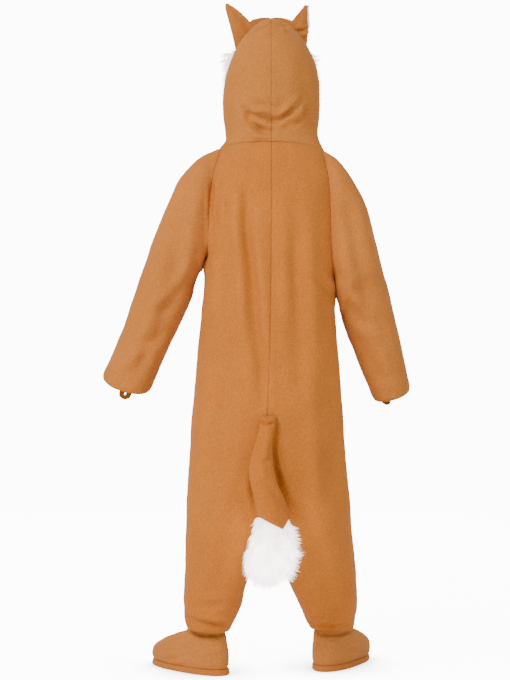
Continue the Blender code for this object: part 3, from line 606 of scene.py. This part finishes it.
# Rows of the left and right panels that share the middle seam
crown_rows = {"back": 13 * STEPS, "front": 13 * STEPS, "hood": HOOD_ROWS}
for side, word in ((1, "left"), (-1, "right")):
    keys = np.linspace(0, 22, 22 * STEPS + 1)
    shares = seam_spread(49)
    angles = read_sizes(left_body_sizes if side > 0 else right_body_sizes, keys)[:, [2, 5]]
    points = {}
    normals = {}
    for panel, back in (("back", True), ("front", False)):
        grid = body_rows(side, back, keys, shares)
        sign = side if back else -side
        if back:
            spots = [spot[1:] for spot in body_hollows if spot[0] == side]
            grid -= cloth_normals(grid) * sign * hollow(grid, keys, shares, spots, True)
        facing = cloth_normals(grid) * sign
        for column, turns in ((0, angles[:, 0]), (-1, angles[:, 1])):
            turn = np.radians(np.clip(turns, -90, 90))
            flatness = 2 - 2 / ROUND
            radial = np.zeros((len(keys), 3))
            radial[:, 0] = side * signed_power(np.sin(turn), flatness)
            radial[:, 1] = np.maximum(np.cos(turn), 0) ** flatness * (1 if back else -1)
            down = unit(np.gradient(grid[:, column], axis=0))
            facing[:, column] = unit(radial - down * np.sum(radial * down, axis=1)[:, None])
        points[panel], normals[panel] = grid, facing

    raglan = 8 * STEPS
    around = 18 * STEPS
    top = neck_seam(side, 90 - 18 * np.arange(STEPS) / STEPS)
    tail_side = neck_seam(side, 108 - 18 * np.arange(1, STEPS) / STEPS)
    behind = points["back"][: raglan + 1, -1]
    ahead = points["front"][:raglan, -1][::-1]
    rings = [np.concatenate([top, behind, ahead, tail_side])]
    turn = np.radians(np.arange(around) * 360 / around)
    c, s = signed_power(np.cos(turn), 2 / ROUND), signed_power(np.sin(turn), 2 / ROUND)
    sizes = left_sleeve_sizes if side > 0 else right_sleeve_sizes
    for _, outer_x, outer_z, inner_x, inner_z, depth, mid_y, drop in sizes:
        x = (outer_x + inner_x) / 2 + (outer_x - inner_x) / 2 * c
        z = (outer_z + inner_z) / 2 + (outer_z - inner_z) / 2 * c - drop * s
        rings.append(np.stack([x, mid_y + depth * s, z], axis=1))
    points["sleeve"] = along_rings(rings, np.linspace(0, len(sizes), SLEEVE_ROWS))
    normals["sleeve"] = -cloth_normals(points["sleeve"], True) * side

    turns = np.concatenate([72 * shares, 72 + 18 * np.arange(1, STEPS + 1) / STEPS])
    turns = np.concatenate([turns, 180 - turns[-2::-1]])
    rings = [neck_seam(side, turns)]
    for _, chin_y, chin_z, top_y, top_z, left, right, curve in hood_sizes:
        c = signed_power(np.cos(np.radians(turns)), 2 / curve)
        s = np.abs(np.sin(np.radians(turns))) ** (2 / curve)
        s[[0, -1]] = 0
        x = -1 + side * (left if side > 0 else right) * s
        y = (top_y + chin_y) / 2 + (top_y - chin_y) / 2 * c
        z = (top_z + chin_z) / 2 + (top_z - chin_z) / 2 * c
        rings.append(np.stack([x, y, z], axis=1))
    hood_keys = np.linspace(0, len(hood_sizes), HOOD_ROWS)
    grid = along_rings(rings, hood_keys)
    grid += cloth_normals(grid) * side * hollow(grid, hood_keys, turns / 180, nape_hollows, False)
    facing = -cloth_normals(grid) * side
    facing[:, [0, -1], 0] = 0
    points["hood"], normals["hood"] = grid, unit(facing)

    neck = len(shares)
    front_end = slice(around - 1, around - STEPS - 1, -1)
    seams = [
        ("back", (slice(0, raglan + 1), -1), "sleeve", (0, slice(STEPS, STEPS + raglan + 1))),
        ("front", (slice(0, raglan + 1), -1), "sleeve", (0, slice(around - STEPS, raglan + STEPS - 1, -1))),
        ("back", (0, slice(0, neck)), "hood", (0, slice(0, neck))),
        ("front", (0, slice(0, neck)), "hood", (0, slice(None, -neck - 1, -1))),
        ("sleeve", (0, slice(0, STEPS + 1)), "hood", (0, slice(neck + STEPS - 1, neck - 2, -1))),
        ("sleeve", (0, front_end), "hood", (0, slice(neck + STEPS, neck + 2 * STEPS))),
    ]

    def join_seams():
        """Gives pieces the same normals where they are sewn together."""
        for _ in range(6):
            for first, first_part, second, second_part in seams:
                mean = unit(normals[first][first_part] + normals[second][second_part])
                normals[first][first_part] = mean
                normals[second][second_part] = mean

    join_seams()
    creases = back_creases + sleeve_creases + hood_creases
    panel_edges = {"top": 1.0, "inner": 1.3, "outer": 0.22, "bottom": 0.9}
    edges = {"back": panel_edges, "front": panel_edges}
    edges["sleeve"] = {"top": 0.22, "bottom": 1.6}
    edges["hood"] = {"top": 1.0, "inner": 1.3}
    for part in points:
        wrap = part == "sleeve"
        kept = [normals[part][:, 0].copy(), normals[part][:, -1].copy()]
        shift = relief(points[part], normals[part], creases, front_creases)
        shift += seam_roll(points[part], SEAM_DEPTH, SEAM_REACH, edges[part])
        points[part] = points[part] + normals[part] * shift[:, :, None]
        facing = cloth_normals(points[part], wrap)
        if np.sum(facing * normals[part]) < 0:
            facing = -facing
        if not wrap:
            facing[:, 0], facing[:, -1] = kept
        normals[part] = facing
    join_seams()
    for first, first_part, second, second_part in seams:
        mean = (points[first][first_part] + points[second][second_part]) / 2
        points[first][first_part] = mean
        points[second][second_part] = mean
    if side < 0:
        for part, count in crown_rows.items():
            points[part][:count, 0], normals[part][:count, 0] = (line[:count] for line in centre_line[part])
    centre_line = {part: (points[part][:, 0].copy(), normals[part][:, 0].copy()) for part in crown_rows}
    hood_rings[side] = points["hood"]
    sleeve_ends[side] = (points["sleeve"], normals["sleeve"])
    cuts = {
        "back": ("body", body_felt, (0.26, 1.02), 0.21, "hung"),
        "front": ("body", body_felt, (0.26, 1.0), 0.205, "hung"),
        "sleeve": ("sleeve", sleeve_felt, (0.52, 0.42), 0.14, "hung"),
        "hood": ("hood", hood_felt, (0.3, 0.32), 0.067, "draped"),
    }
    for part, (slot, felt, flat, area, held) in cuts.items():
        piece = sheet_mesh(slot + "_felt_" + part + "_" + word, points[part], normals[part], part == "sleeve")
        declare(piece, felt, part + "_" + word)


# Hood brim: one band of the same felt sewn round the face opening, turned up over the crown so that its edge
# stands behind the ears as a dark arc, and lying flatter down the cheeks. Its colour is a little darker than
# the hood's: painted shade on the band's back.
brim_sizes = [
    # angle from the crown, forwards, outwards
    (0, 14, 32),
    (12, 14, 34),
    (22, 14, 34),
    (33, 14, 24),
    (45, 14, 14),
    (80, 14, 7),
    (120, 13, 7),
    (150, 12, 10),
    (180, 10, 10),
]
brim_profile = [(0, -0.09, 0), (1, 0.5, 0.06), (2, 0.85, 0.3), (3, 1, 1)]

edge_path = np.concatenate([hood_rings[1][-1][::-1], hood_rings[-1][-1][1:]])
edge_angles = np.concatenate([turns[::-1], turns[1:]])
opening_middle = (edge_path[0] + edge_path[len(turns) - 1]) / 2
outward = edge_path - opening_middle
outward[:, 1] = 0
outward = unit(outward)
reach = read_sizes(brim_sizes, edge_angles)
profile = read_sizes(brim_profile, np.linspace(0, 3, 22))
brim = edge_path + np.array([0, -1, 0]) * reach[:, :1] * profile[:, None, :1]
brim = brim + outward * reach[:, 1:] * profile[:, None, 1:]
facing = -cloth_normals(brim)
brim_wave = 0.5 * np.sin(np.radians(edge_angles) * 9 + np.sign(edge_path[:, 0]) * 1.3) * profile[:, 1:]
brim = brim + facing * (brim_wave + seam_roll(brim, 1.0, 2.6, {"top": 1}))[:, :, None]
# A darker copy of the hood felt: painted shade on the brim's back.
shaded_brim_felt = brushed_felt("shaded_brim_felt", "8c4e1c", "a46028", "b6703a")
piece = sheet_mesh("brim_felt_band", brim, -cloth_normals(brim))
declare(piece, shaded_brim_felt, "hood_brim")


# Ears: a cupped triangle of the felt behind and a white one in front, sewn round the edge and set in over the
# crown. The white front stands a little wider than the back, so a white edge shows from behind.
ear_sizes = {
    1: [
        # share, inner x, inner z, outer x, outer z
        (0.0, 33, 1299, 71, 1262),
        (0.3, 46, 1312, 79, 1290),
        (0.6, 62, 1327, 88, 1317),
        (0.85, 77, 1338, 93, 1335),
        (1.0, 87, 1344, 92, 1342),
    ],
    -1: [
        (0.0, -34, 1300, -72, 1266),
        (0.3, -44, 1312, -75, 1289),
        (0.6, -56, 1326, -74, 1313),
        (0.85, -65, 1337, -73.5, 1332),
        (1.0, -68, 1341, -73, 1339),
    ],
}
ear_ring_at = 73
ear_creases = [
    (4, 1.6, [(46, 1296), (62, 1312), (80, 1330)]),
    (4, -0.9, [(54, 1288), (70, 1306), (86, 1326)]),
    (3.5, 2.2, [(-46, 1282), (-60, 1284), (-76, 1288)]),
    (4, -1.4, [(-50, 1272), (-62, 1275), (-72, 1278)]),
    (5, 1.2, [(-52, 1302), (-60, 1316), (-68, 1330)]),
]
white_felt = brushed_felt("white_felt", "eae7e0", "f4f2ec", "fbfaf6")
ear_felt = brushed_felt("ear_felt", "8c4e1a", "a26228", "b6763c")
for side, word in ((1, "left"), (-1, "right")):
    steps, share = np.linspace(0, 1, 49), np.linspace(0, 1, 29)
    ring = hood_rings[side][ear_ring_at][: hood_rings[side].shape[1] // 2]
    order = np.argsort(np.abs(ring[:, 0]))
    sizes = read_sizes(ear_sizes[side], steps)
    x = sizes[:, [0]] + (sizes[:, [2]] - sizes[:, [0]]) * share
    z = sizes[:, [1]] + (sizes[:, [3]] - sizes[:, [1]]) * share
    base = [np.interp(np.abs(x[0]), np.abs(ring[order, 0]), ring[order, k]) for k in (1, 2)]
    fade = (1 - steps)[:, None]
    y = 7 * np.sin(np.pi * share) * (1 - steps[:, None] ** 2) * steps[:, None] ** 0.5
    ear = np.stack([x, y + base[0] * fade - 22 * (1 - fade), z + (base[1] + 2.4 - z[0]) * fade**2], axis=2)
    facing = -cloth_normals(ear) * side
    shift = relief(ear, facing, ear_creases, []) * 0.8
    ear = ear + facing * shift[:, :, None]
    facing = -cloth_normals(ear) * side
    rolled = ear + facing * seam_roll(ear, 0.7, 2.2, {"inner": 1, "outer": 1})[:, :, None]
    piece = sheet_mesh("ear_felt_" + word, rolled, -cloth_normals(rolled) * side)
    declare(piece, ear_felt, "ear_" + word)
    loose = [(2.6 * width, max(depth, 0), path) for width, depth, path in ear_creases]
    slack = np.minimum(relief(ear, facing, loose, []), 0) * 0.9
    tucked = 2.0 * np.exp(-(((steps - 0.25) / 0.18) ** 2))[:, None] * (side < 0)
    white = ear + facing * (slack - WALL - 0.5 - tucked)[:, :, None]
    wider = (0.5 if side > 0 else 5.0) * np.clip((steps[:, None] - 0.22) / 0.2, 0, 1) * share**2
    white[:, :, 0] += side * wider
    spread = np.exp(-((steps / 0.14) ** 2))[:, None, None]
    white += unit(white[6] - white[0]) * spread * 5.0
    piece = sheet_mesh("ear_white_" + word, white, -cloth_normals(white) * side)
    declare(piece, white_felt, "ear_front_" + word)


# Fur: long-pile white fur fabric, a rope of it down each cheek and a full tuft at the end of the tail. Each
# has its cloth backing and thousands of tapered locks that lie down and out, drawn together in small clumps.
cheek_sizes = [
    # angle, half width, half thickness
    (55, 4.0, 2.8),
    (66, 5.8, 3.8),
    (78, 6.2, 4.0),
    (95, 6.4, 4.2),
    (118, 6.0, 4.0),
    (132, 4.6, 3.0),
    (140, 2.6, 2.0),
]
tip_sizes = [
    # key, z, left, right, depth, y
    (0, 324, 34, -40, 29, 152),
    (1, 313, 39, -46, 34, 153),
    (2, 291, 46, -56, 40, 156),
    (3, 265, 55, -60, 43, 158),
    (4, 240, 58, -57, 42, 158),
    (5, 216, 51, -50, 34, 157),
    (6, 201, 32, -32, 19, 156),
]


def closed_rings(name, rings):
    """A closed solid through rings of points, with a fan at both ends."""
    rings = np.array(rings)
    count = rings.shape[1]
    points = np.concatenate([rings.reshape(-1, 3), [rings[0].mean(axis=0), rings[-1].mean(axis=0)]])
    faces = []
    for i in range(len(rings) - 1):
        for j in range(count):
            k = (j + 1) % count
            faces.append((i * count + j, i * count + k, (i + 1) * count + k, (i + 1) * count + j))
    last = (len(rings) - 1) * count
    for j in range(count):
        k = (j + 1) % count
        faces.append((k, j, len(points) - 2))
        faces.append((last + j, last + k, len(points) - 1))
    return add_piece(name, points, faces)


def math_node(tree, operation, first, second):
    """A number or node's first output, worked on by another, as an output."""
    settings, links = {"operation": operation}, {}
    for place, value in enumerate((first, second)):
        if isinstance(value, float):
            settings[place] = value
        else:
            links[place] = getattr(value, "outputs", [value])[0]
    return add_node(tree, "ShaderNodeMath", settings, links).outputs[0]


def fur_pile(name):
    """Acrylic fur pile: near-white fibres with a painted glow (emission) that stands in for light passing
    through the locks.
    The glow is stronger towards their ends and on the side of the tail tip that stands open, away from the
    body. It is weaker down at the backing, which looks greyer."""
    made, tree, shader = new_material(name)
    shader.inputs["Roughness"].default_value = 0.75
    shader.inputs["Sheen Weight"].default_value = 0.4
    place = add_node(tree, "ShaderNodeTexCoord").outputs["Object"]
    lock = add_node(tree, "ShaderNodeTexNoise", {"Scale": 330, "Detail": 2}, {0: place})
    ramp = colour_ramp(tree, lock.outputs["Fac"], (0.3, "f4f1ea"), (0.7, "ffffff"))
    tree.links.new(ramp.outputs["Color"], shader.inputs["Base Color"])
    # Painted glow: the emission is stronger towards the lock ends and on the tail tip's outward side, away
    # from the body.
    shader.inputs["Emission Color"].default_value = linear("fff6ea")
    strand = add_node(tree, "ShaderNodeAttribute", {"attribute_name": "strand_share"})
    levels = {1: 0.15, 2: 1.0, 3: 0.7, 4: 1.9}
    glow_along_lock = add_node(tree, "ShaderNodeMapRange", levels, {0: strand.outputs["Fac"]})
    parts = add_node(tree, "ShaderNodeSeparateXYZ", {}, {0: place})
    levels = {1: 0.145, 2: 0.18, 3: 1.0, 4: 2.1}
    glow_on_open_side = add_node(tree, "ShaderNodeMapRange", levels, {0: parts.outputs[1]})
    tree.links.new(math_node(tree, "MULTIPLY", glow_along_lock, glow_on_open_side), shader.inputs["Emission Strength"])
    return made


def lock_tree(name, material):
    """Geometry Nodes that stand tapered fur locks on a backing. Inputs: locks per square metre, length,
    thickness, how far they lean down, how strongly they clump and curl, and the seed."""
    tree = bpy.data.node_groups.new(name, "GeometryNodeTree")
    face = tree.interface
    face.new_socket("Geometry", in_out="INPUT", socket_type="NodeSocketGeometry")
    for label in ("Density", "Length", "Thickness", "Lean", "Clump", "Curl"):
        face.new_socket(label, in_out="INPUT", socket_type="NodeSocketFloat")
    face.new_socket("Seed", in_out="INPUT", socket_type="NodeSocketInt")
    face.new_socket("Geometry", in_out="OUTPUT", socket_type="NodeSocketGeometry")
    given = add_node(tree, "NodeGroupInput").outputs
    pull = {"data_type": "FLOAT", "Name": "pile_growth"}
    pull = add_node(tree, "GeometryNodeInputNamedAttribute", pull).outputs["Attribute"]
    sown = {"Mesh": given["Geometry"], "Density": given["Density"], "Seed": given["Seed"]}
    sown["Selection"] = math_node(tree, "GREATER_THAN", pull, 0.2)
    root = add_node(tree, "GeometryNodeDistributePointsOnFaces", {}, sown)
    curve = {"Resolution": 3, "Start": (0, 0, 0), "Middle": (0, 0, 0.55)}
    bend = add_node(tree, "ShaderNodeCombineXYZ", {"Z": 1.0}, {"X": given["Curl"]}).outputs[0]
    arc = add_node(tree, "GeometryNodeCurveQuadraticBezier", curve, {"End": bend})
    along = add_node(tree, "GeometryNodeSplineParameter").outputs["Factor"]
    taper = add_node(tree, "ShaderNodeMapRange", {1: 0.0, 2: 1.0, 3: 1.0, 4: 0.06}, {0: along})
    thick = math_node(tree, "MULTIPLY", taper, given["Thickness"])
    circle = add_node(tree, "GeometryNodeCurvePrimitiveCircle", {"Resolution": 3, "Radius": 1.0})
    mark = {"data_type": "FLOAT", "domain": "POINT", "Name": "strand_share"}
    marked = {"Geometry": arc.outputs["Curve"], "Value": along}
    marked = add_node(tree, "GeometryNodeStoreNamedAttribute", mark, marked)
    form = {"Curve": marked.outputs[0], "Profile Curve": circle.outputs["Curve"], "Scale": thick}
    lock = add_node(tree, "GeometryNodeCurveToMesh", {"Fill Caps": False}, form)
    spot = add_node(tree, "GeometryNodeInputPosition").outputs[0]
    swirl = add_node(tree, "ShaderNodeTexNoise", {"Scale": 95, "Detail": 2}, {"Vector": spot})
    centred = {"operation": "SUBTRACT", 1: (0.5, 0.5, 0.5)}
    around = add_node(tree, "ShaderNodeVectorMath", centred, {0: swirl.outputs["Color"]}).outputs[0]
    drawn = {0: around, "Scale": given["Clump"]}
    clump = add_node(tree, "ShaderNodeVectorMath", {"operation": "SCALE"}, drawn)
    apart = {"data_type": "FLOAT_VECTOR", 0: (-0.22, -0.22, -0.22), 1: (0.22, 0.22, 0.22)}
    stray = add_node(tree, "FunctionNodeRandomValue", apart, {"Seed": given["Seed"]})
    down = math_node(tree, "MULTIPLY", given["Lean"], -1.0)
    fall = add_node(tree, "ShaderNodeCombineXYZ", {"X": 0.0, "Y": 0.0}, {"Z": down})
    way = root.outputs["Normal"]
    for addition in (clump, stray, fall):
        both = {0: way, 1: addition.outputs[0]}
        way = add_node(tree, "ShaderNodeVectorMath", {"operation": "ADD"}, both).outputs[0]
    turn = add_node(tree, "FunctionNodeAlignRotationToVector", {"axis": "Z"}, {"Vector": way}).outputs[0]
    spread = {"data_type": "FLOAT", 2: 0.7, 3: 1.15}
    long = add_node(tree, "FunctionNodeRandomValue", spread, {"Seed": given["Seed"]}).outputs[1]
    grown = math_node(tree, "MULTIPLY", math_node(tree, "MULTIPLY", long, given["Length"]), pull)
    stood = {"Points": root.outputs["Points"], "Instance": lock.outputs[0], "Rotation": turn, "Scale": grown}
    stand = add_node(tree, "GeometryNodeInstanceOnPoints", {}, stood)
    real = add_node(tree, "GeometryNodeRealizeInstances", {}, {0: stand.outputs[0]})
    dyed = add_node(tree, "GeometryNodeSetMaterial", {"Material": material}, {"Geometry": real.outputs[0]})
    add_node(tree, "NodeGroupOutput", {}, {0: dyed.outputs[0]})
    return tree


def set_growth(backing, growth):
    """Stores on the backing how long its locks grow, as a share of the tree's length."""
    field = backing.data.attributes.new("pile_growth", "FLOAT", "POINT")
    field.data.foreach_set("value", np.array(growth, np.float32))


def grow_fur(name, backing, tree, **amounts):
    """Runs the fur tree on a backing and returns the locks as one plain mesh."""
    carrier = bpy.data.objects.new(name + "_carrier", backing.data.copy())
    bpy.context.scene.collection.objects.link(carrier)
    grow = carrier.modifiers.new("locks", "NODES")
    grow.node_group = tree
    for item in tree.interface.items_tree:
        if item.in_out == "INPUT" and item.name in amounts:
            grow[item.identifier] = amounts[item.name]
    bpy.context.view_layer.update()
    ready = carrier.evaluated_get(bpy.context.evaluated_depsgraph_get())
    mesh = bpy.data.meshes.new_from_object(ready)
    mesh.name = name
    mesh.shade_smooth()
    bpy.data.objects.remove(carrier)
    locks = bpy.data.objects.new(name, mesh)
    bpy.context.scene.collection.objects.link(locks)
    return locks


fur = fur_pile("white_fur_pile")
locks = lock_tree("fur_locks", fur)
for side, word in ((1, "left"), (-1, "right")):
    middle = len(edge_path) // 2
    half = brim[:, : middle + 1][:, ::-1] if side > 0 else brim[:, middle:]
    spread = edge_angles[: middle + 1][::-1] if side > 0 else edge_angles[middle:]
    pick = np.linspace(cheek_sizes[0][0], cheek_sizes[-1][0], 61)
    sizes = read_sizes(cheek_sizes, pick)
    spine = np.stack([np.interp(pick, spread, half[0, :, k]) for k in range(3)], axis=1)
    front_y = np.interp(pick, spread, half[-1, :, 1])
    out = spine - opening_middle
    out[:, 1] = 0
    out = unit(out)
    spine += out * 7
    spine[:, 1] = front_y - sizes[:, 1] - 1.2
    turn = np.radians(np.arange(20) * 18)
    rings = spine[:, None] + out[:, None] * (np.cos(turn)[:, None] * sizes[:, None, [0]])
    rings[:, :, 1] += np.sin(turn) * sizes[:, [1]]
    rope = closed_rings("cheek_fur_backing_" + word, rings)
    rope.data.materials.append(fur)
    height = np.array([v.co.z for v in rope.data.vertices]) * 1000 + HOLD
    wisp = 1.5 if side > 0 else 0.7
    set_growth(rope, 0.8 + wisp * np.exp(-(((height - 1248) / 16) ** 2)))
    amounts = {"Length": 0.011, "Thickness": 0.03, "Lean": 0.35, "Clump": 2.0, "Curl": 0.3}
    pile = grow_fur("cheek_fur_locks_" + word, rope, locks, Density=480000.0, Seed=5 + side, **amounts)
    for piece in (rope, pile):
        dress(piece, "cheek_fur_" + word)


# How far the locks stand out past the tail tip's backing, and the V in which the tail's cloth ends
PILE_DEEP = 20
TAIL_POINT_X, TAIL_POINT_Z = -22, 304
TAIL_V_RISE, TAIL_V_LEFT, TAIL_V_RIGHT = 24, 50, 15


def tail_edge(x):
    """Height of the V in which the tail's cloth ends, at the back."""
    off = x - TAIL_POINT_X
    run = np.where(off > 0, TAIL_V_LEFT, TAIL_V_RIGHT)
    return TAIL_POINT_Z + TAIL_V_RISE * np.minimum(np.abs(off) / run, 1)


tip_keys = np.linspace(0, 6, 49)
around = np.radians(np.arange(72) * 5)
rings = []
for z, left, right, depth, mid_y in read_sizes(tip_sizes, tip_keys):
    deep = PILE_DEEP * np.clip((345 - z) / 60, 0.35, 1)
    x = (left + right) / 2 + 4 * deep / PILE_DEEP + ((left - right) / 2 - deep) * np.cos(around)
    y = mid_y + max(depth - deep, 4) * np.sin(around)
    lifted = z + 14 * np.clip((270 - z) / 90, 0, 1)
    rings.append(np.stack([x, y, np.full(len(around), lifted)], axis=1))
backing = closed_rings("tail_tip_backing", rings)
backing.data.materials.append(fur)
places = np.array([v.co for v in backing.data.vertices]) * 1000
clear = tail_edge(places[:, 0]) - 3 - (places[:, 2] + HOLD)
set_growth(backing, np.clip(clear / 34 + 0.35, 0, 1.1))
amounts = {"Length": 0.023, "Thickness": 0.036, "Lean": 1.35, "Clump": 3.8, "Curl": 0.4}
pile = grow_fur("tail_tip_locks", backing, locks, Density=280000.0, Seed=3, **amounts)
for piece in (backing, pile):
    dress(piece, "tail_tip")


# Tail: a tube of the felt filled with wadding, sewn into the middle seam of the back, with sharp creases
# across its root. It hangs in a slight S and ends in a V, where the fur begins.
tail_sizes = [
    # key, z, left, right, depth, y
    (0, 519, 21, -7, 5, 120.2),
    (1, 508, 22, -8, 9, 125.4),
    (2, 473, 30, -1, 14, 133.6),
    (3, 434, 42, -2, 18, 140.5),
    (4, 404, 44, -8, 22, 147),
    (5, 388, 41, -12, 24, 149),
    (6, 363, 35, -23, 27, 151),
    (7, 330, 28, -36, 28, 152),
]
tail_creases = [
    (3.0, 3.8, [(-8, 500), (4, 499), (14, 501), (24, 504)]),
    (4.0, -1.8, [(-4, 508), (8, 506), (20, 510)]),
    (5, 2.0, [(16, 492), (24, 470), (32, 440), (34, 410)]),
    (6, -1.4, [(4, 480), (10, 450), (18, 420), (14, 390)]),
    (5, 1.4, [(-4, 436), (6, 424), (18, 422)]),
    (6, 1.4, [(34, 396), (20, 384), (0, 380)]),
    (5, 1.6, [(2, 372), (-12, 356), (-24, 344)]),
    (6, -1.2, [(20, 370), (6, 350), (-10, 332)]),
]
rows = read_sizes(tail_sizes, np.linspace(0, 7, 85))
turn = np.radians(-np.arange(80) * 4.5)
grid = np.zeros((len(rows), len(turn), 3))
for i, (z, left, right, depth, mid_y) in enumerate(rows):
    grid[i, :, 0] = (left + right) / 2 + (left - right) / 2 * np.cos(turn)
    grid[i, :, 1] = mid_y + depth * np.sin(turn)
    grid[i, :, 2] = z
point = (330 - tail_edge(grid[-1, :, 0])) * np.clip((grid[-1, :, 1] - 152) / 6, 0, 1)
grid[:, :, 2] -= point * np.clip((np.linspace(0, 7, 85)[:, None] - 5) / 2, 0, 1) ** 2
facing = cloth_normals(grid, True)
if np.sum(facing[40] * (grid[40] - grid[40].mean(axis=0))) < 0:
    facing = -facing
grid += facing * (relief(grid, facing, tail_creases, []) * 0.9)[:, :, None]
tail = closed_rings("tail_felt_tube", grid)
tail_felt = brushed_felt("tail_felt", "944e14", "aa6020", "bc7432")
tail.data.materials.append(tail_felt)
dress(tail, "tail")


# Boot covers and soles: a cover of the felt over each foot, which bunches at the ankle inside the trouser
# hem, sewn all round to a flat sole of the same felt with a rolled edge.
feet = {1: (127, -8, 38), -1: (-122, -62, 22)}
boot_sizes = [
    # key, z, back, front, half width
    (0, 12.3, 0, 219, 43),
    (1, 24, -2, 222, 46),
    (2, 42, 0, 214, 46),
    (3, 58, 4, 184, 43),
    (4, 72, 9, 138, 39),
    (5, 85, 13, 100, 33),
    (6, 108, 14, 92, 32),
]
sole_sizes = [
    # key, z, back, front, half width
    (0, 0, 0, 219, 42),
    (1, 2.5, -2.5, 222.5, 45.5),
    (2, 9, -2, 222, 45),
    (3, 12, -0.5, 220, 43.8),
]
boot_creases = {
    1: [
        (4, 2.4, [(172, 90), (150, 80), (134, 75)]),
        (4, 2.2, [(92, 80), (110, 76), (132, 77)]),
        (4, -1.0, [(94, 66), (116, 60), (140, 64)]),
        (5, 1.4, [(150, 62), (176, 50), (200, 44)]),
        (4, 1.2, [(90, 44), (104, 36), (126, 34)]),
        (5, 1.2, [(160, 40), (190, 30), (216, 28)]),
    ],
    -1: [
        (4, 2.2, [(-90, 80), (-112, 76), (-138, 78), (-160, 84)]),
        (4, -1.0, [(-92, 66), (-118, 60), (-142, 66)]),
        (5, 1.3, [(-140, 58), (-162, 48), (-184, 42)]),
        (4, 1.2, [(-90, 40), (-106, 34), (-130, 32)]),
    ],
}
boot_felt = brushed_felt("boot_felt", "96561e", "ae6a2e", "c07e42")
sole_felt = brushed_felt("sole_felt", "945218", "ac6426", "be7838")


def foot_rings(side, rows, sides):
    """Level rings round the foot, egg-shaped with the wide end at the toes."""
    ankle_x, ankle_y, turn_out = feet[side]
    turn = np.radians(np.arange(sides) * 360 / sides)
    c, s = signed_power(np.cos(turn), 2 / ROUND), signed_power(np.sin(turn), 2 / ROUND)
    out = math.radians(turn_out)
    rings = []
    for z, back, front, half in rows:
        length = (back + front) / 2 - 54 + (front - back) / 2 * c
        across = half * s * (1 + 0.1 * c)
        x = ankle_x + side * (length * math.sin(out) + across * math.cos(out))
        y = ankle_y - length * math.cos(out) + across * math.sin(out)
        rings.append(np.stack([x, y, np.full(sides, z)], axis=1))
    return np.array(rings)


for side, word in ((1, "left"), (-1, "right")):
    boot = foot_rings(side, read_sizes(boot_sizes, np.linspace(0, 6, 49)), 120)
    facing = cloth_normals(boot, True) * side
    facing[0, :, 2] = 0
    facing = unit(facing)
    crumple = relief(boot, facing, boot_creases[side], boot_creases[side])
    boot += facing * (crumple + seam_roll(boot, 0.8, 3.0, {"top": 1}))[:, :, None]
    facing = cloth_normals(boot, True) * side
    facing[0, :, 2] = 0
    piece = sheet_mesh("boot_felt_" + word, boot, unit(facing), True)
    declare(piece, boot_felt, "boot_" + word)
    rows = read_sizes(sole_sizes, np.linspace(0, 3, 25))
    rows[:, 0] = np.clip(rows[:, 0], 0, 12)
    rings = foot_rings(side, rows, 120)
    angle = np.arange(120) / 120 * 2 * np.pi
    rings[3:-3, :, 2] += (0.35 * np.sin(9 * angle) + 0.25 * np.sin(17 * angle + 1))[None]
    sole = closed_rings("sole_felt_" + word, rings)
    sole.data.materials.append(sole_felt)
    dress(sole, "sole_" + word)


# Finger loops: a flat band of the felt sewn inside the back of each cuff, through which a finger goes. It is
# coloured much darker than the sleeve felt: painted shade under the cuff.
loop_columns = {1: (4, 5), -1: (5, 6)}
loop_hang = {1: (6, 5.2), -1: (1, 5.8)}
# Much darker than the sleeve felt: painted shade under the cuff.
shaded_loop_felt = brushed_felt("shaded_loop_felt", "5e2c06", "77400e", "8c5218")
for side, word in ((1, "left"), (-1, "right")):
    sleeve, facing = sleeve_ends[side]
    path = []
    for column, shares in zip(loop_columns[side], (np.linspace(0, 1, 7), np.linspace(1, 0, 7))):
        at = column * STEPS
        up = unit(sleeve[-12, at] - sleeve[-1, at])
        below, deep = loop_hang[side]
        hang = sleeve[-1, at] - facing[-1, at] * deep
        path += [hang + up * (20 - (20 + below) * share) for share in shares]
    path = np.array(path)
    side_way = unit(path[7] - path[6])
    path -= side_way * ((path - (path[6] + path[7]) / 2) @ side_way)[:, None] * 0.3
    half_wide = np.linalg.norm(path[7] - path[6]) / 2
    down = unit(path[6] - path[5])
    bow = np.linspace(0, np.pi, 9)[1:-1]
    centre, side_way = (path[6] + path[7]) / 2, unit(path[7] - path[6])
    turn_path = [centre - side_way * half_wide * math.cos(b) + down * half_wide * math.sin(b) for b in bow]
    path = np.concatenate([path[:7], turn_path, path[7:]])
    flat_way = unit(facing[-1, loop_columns[side][0] * STEPS] + facing[-1, loop_columns[side][1] * STEPS])
    across = unit(np.cross(np.gradient(path, axis=0), flat_way))
    turn = np.radians(np.arange(12) * 30)
    oval = np.stack([5.5 * signed_power(np.cos(turn), 0.6), 1.0 * signed_power(np.sin(turn), 0.6)], axis=1)
    rings = [point + oval[:, :1] * way + oval[:, 1:] * flat_way for point, way in zip(path, across)]
    loop = closed_rings("cuff_loop_felt_" + word, rings)
    loop.data.materials.append(shaded_loop_felt)
    dress(loop, "cuff_loop_" + word)
